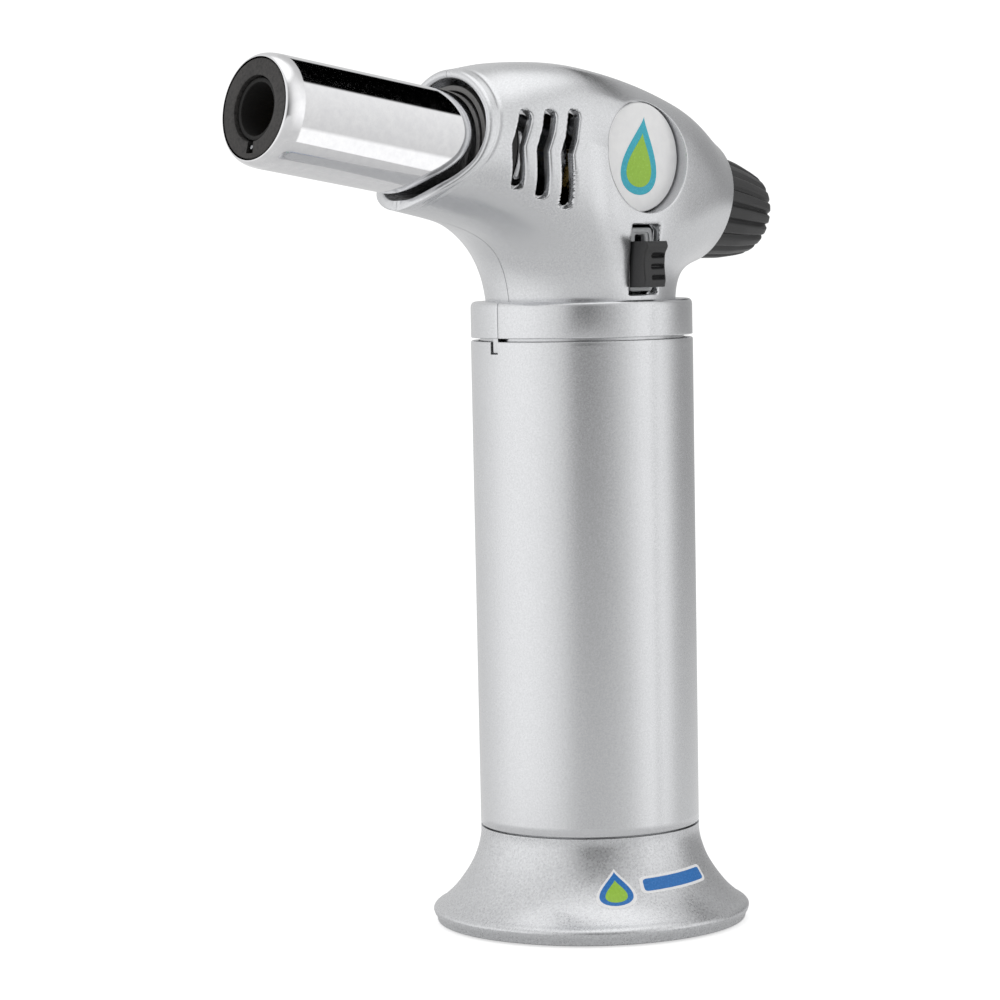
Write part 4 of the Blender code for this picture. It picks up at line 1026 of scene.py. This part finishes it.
def make_floor():
    """A round pale table top, lit a little from within so that it stays near white."""
    mesh = bpy.data.meshes.new("studio_table")
    ring = circle(np.array([(0.0, -0.05), (60.0, -0.05), (FLOOR_R, -0.05)]), 96) * MM
    mesh.from_pydata(ring.reshape(-1, 3), [], grid_faces(3, 96, ring_cols=True).reshape(-1, 4).tolist())
    table = bpy.data.objects.new("studio_table", mesh)
    material = bpy.data.materials.new("opal_acrylic")
    material.use_nodes = True
    tree = material.node_tree
    shader = tree.nodes["Principled BSDF"]
    shader.inputs["Base Color"].default_value = colour("#C8C8C8")
    shader.inputs["Roughness"].default_value = 0.7
    shader.inputs["Emission Color"].default_value = colour("#FFFFFF")
    path = add_node(tree, "ShaderNodeLightPath")
    glow = add_node(tree, "ShaderNodeMath", {0: (path, "Is Camera Ray"), 1: 0.5, 2: 0.15},
                    operation="MULTIPLY_ADD")
    tree.links.new(glow.outputs[0], shader.inputs["Emission Strength"])
    mesh.materials.append(material)
    bpy.context.scene.collection.objects.link(table)


def grey_stops(stops):
    """Ramp stops from greys listed by a rising quantity. The ends come first, as add_node wants them."""
    low, high = stops[0][0], stops[-1][0]
    greys = [((at - low) / (high - low), (value, value, value, 1.0)) for at, value in stops]
    return [greys[0], greys[-1]] + greys[1:-1]


# Directions that the surroundings are described by
STUDIO_AXES = {
    "towards": (math.sin(CAMERA_AZIMUTH), -math.cos(CAMERA_AZIMUTH), 0),
    "rightward": (math.cos(CAMERA_AZIMUTH), math.sin(CAMERA_AZIMUTH), 0),
    "up": (0, 0, 1),
    "over_tube": (math.sin(HEAD_TILT), 0, math.cos(HEAD_TILT)),
    "beside_tube": (0, -1, 0),
    "along_tube": (math.cos(HEAD_TILT), 0, -math.sin(HEAD_TILT)),
}

# Brightness by what it depends on: degrees round the torch from the camera, rising to the right; how steeply
# a direction rises, from -1 to 1; and degrees round the tube from the near side, rising to the top
STUDIO_RAMPS = {
    "around": ("turn", (
        (-180, 0.60), (-140, 0.70), (-115, 0.84), (-92, 1.02), (-70, 1.08), (-50, 1.03), (-34, 0.90),
        (-22, 0.76), (-13, 0.50), (-5, 0.18), (8, 0.16), (18, 0.28), (30, 0.48), (45, 0.74), (60, 0.98),
        (74, 1.08), (86, 1.02), (97, 0.85), (109, 0.50), (122, 0.32), (150, 0.36), (180, 0.50))),
    "fill": ("height", (
        (-1, 0.74), (-0.17, 0.74), (-0.13, 0.60), (-0.09, 0.42), (-0.05, 0.22), (-0.02, 0.1), (1, 0.1))),
    "roof": ("height", ((-1, 0.72), (0.8, 0.72), (0.93, 1.25), (1, 1.25))),
    "high": ("height", ((-1, 0.0), (0.2, 0.0), (0.7, 0.5), (0.85, 1.0), (1, 1.0))),
    "low": ("height", ((-1, 1.0), (-0.6, 1.0), (-0.15, 0.0), (1, 0.0))),
    "cards": ("tube_turn", (
        (-180, 0.6), (-66, 0.62), (-60, 1.08), (-31, 1.08), (-24, 0.68), (64, 0.88), (68, 0.0), (134, 0.0),
        (138, 0.6), (180, 0.6))),
}


def studio_measures(tree):
    """The three quantities of the ramps, each brought to 0..1: two angles between axes, and the height."""
    ray = add_node(tree, "ShaderNodeTexCoord")
    share = {name: (add_node(tree, "ShaderNodeVectorMath", {0: (ray, "Generated"), 1: axis},
                             operation="DOT_PRODUCT"), "Value") for name, axis in STUDIO_AXES.items()}
    measures = {"height": (share["up"], 1.0)}
    for name, across, ahead in (("turn", "rightward", "towards"), ("tube_turn", "over_tube", "beside_tube")):
        angle = add_node(tree, "ShaderNodeMath", {0: share[across], 1: share[ahead]}, operation="ARCTAN2")
        measures[name] = ((angle, 0), math.pi)
    evened_out = {name: (add_node(tree, "ShaderNodeMapRange", {"Value": value, "From Min": -most,
                                                               "From Max": most}), 0)
                  for name, (value, most) in measures.items()}
    return evened_out, share["along_tube"]


def make_studio():
    """Procedural surroundings. Round the torch stand light walls, with a dark gap just right of the camera
    and darker stretches behind. The flame tube mirrors one narrow cone of directions, and along that cone
    stand its own cards: black above, pale grey at its height and white below."""
    world = bpy.data.worlds.new("studio")
    bpy.context.scene.world = world
    world.use_nodes = True
    tree = world.node_tree
    background = tree.nodes["Background"]
    measures, along_tube = studio_measures(tree)
    ramps = {name: (add_node(tree, "ShaderNodeValToRGB", {0: measures[measure]}, stops=grey_stops(stops)), 0)
             for name, (measure, stops) in STUDIO_RAMPS.items()}
    walls = add_node(tree, "ShaderNodeMath", {0: ramps["around"], 1: ramps["fill"]}, operation="MAXIMUM")
    roofed = add_node(tree, "ShaderNodeMix", {0: ramps["high"], 2: (walls, 0), 3: ramps["roof"]})
    room = add_node(tree, "ShaderNodeMix", {0: ramps["low"], 2: (roofed, 0), 3: 0.62})
    on_cone = add_node(tree, "ShaderNodeMath", {0: along_tube, 1: TUBE_CONE, 2: TUBE_CONE_HALF},
                       operation="COMPARE")
    shown = add_node(tree, "ShaderNodeMix", {0: (on_cone, 0), 2: (room, 0), 3: ramps["cards"]})
    path = add_node(tree, "ShaderNodeLightPath")
    seen = add_node(tree, "ShaderNodeMath", {0: (shown, 0), 1: (path, "Is Camera Ray")}, operation="MAXIMUM")
    tree.links.new(seen.outputs[0], background.inputs["Color"])
    background.inputs["Strength"].default_value = 1.1
    bpy.context.scene.view_settings.view_transform = "Standard"


# ---------------------------------------------------------------- putting it together

def main():
    """Surroundings, finishes and every piece, then the finishes of what the model keeps."""
    make_camera()
    make_floor()
    make_studio()
    finishes = make_finishes()
    make_head_shells(finishes["paint"])
    make_sleeve(finishes["paint"])
    make_base(finishes["blasted"], finishes["abs"], finishes["rubber"])
    make_flame_tube(finishes["chrome"])
    make_burner(finishes["scaled"], finishes["near_black"], finishes["burnt"])
    make_knob(finishes["abs"])
    make_badges(finishes["white"], finishes["teal_ink"], finishes["lime_ink"])
    make_base_print(finishes["white_ink"], finishes["blue_ink"], finishes["lime_ink"])
    make_slider(finishes["abs"])
    make_track(finishes["clear"])
    make_screws(finishes["steel"])
    for look, nodes in INNER_FINISH.items():
        for node in nodes:
            frame["nodes"][node].material_slots[0].material = finishes[look]


main()
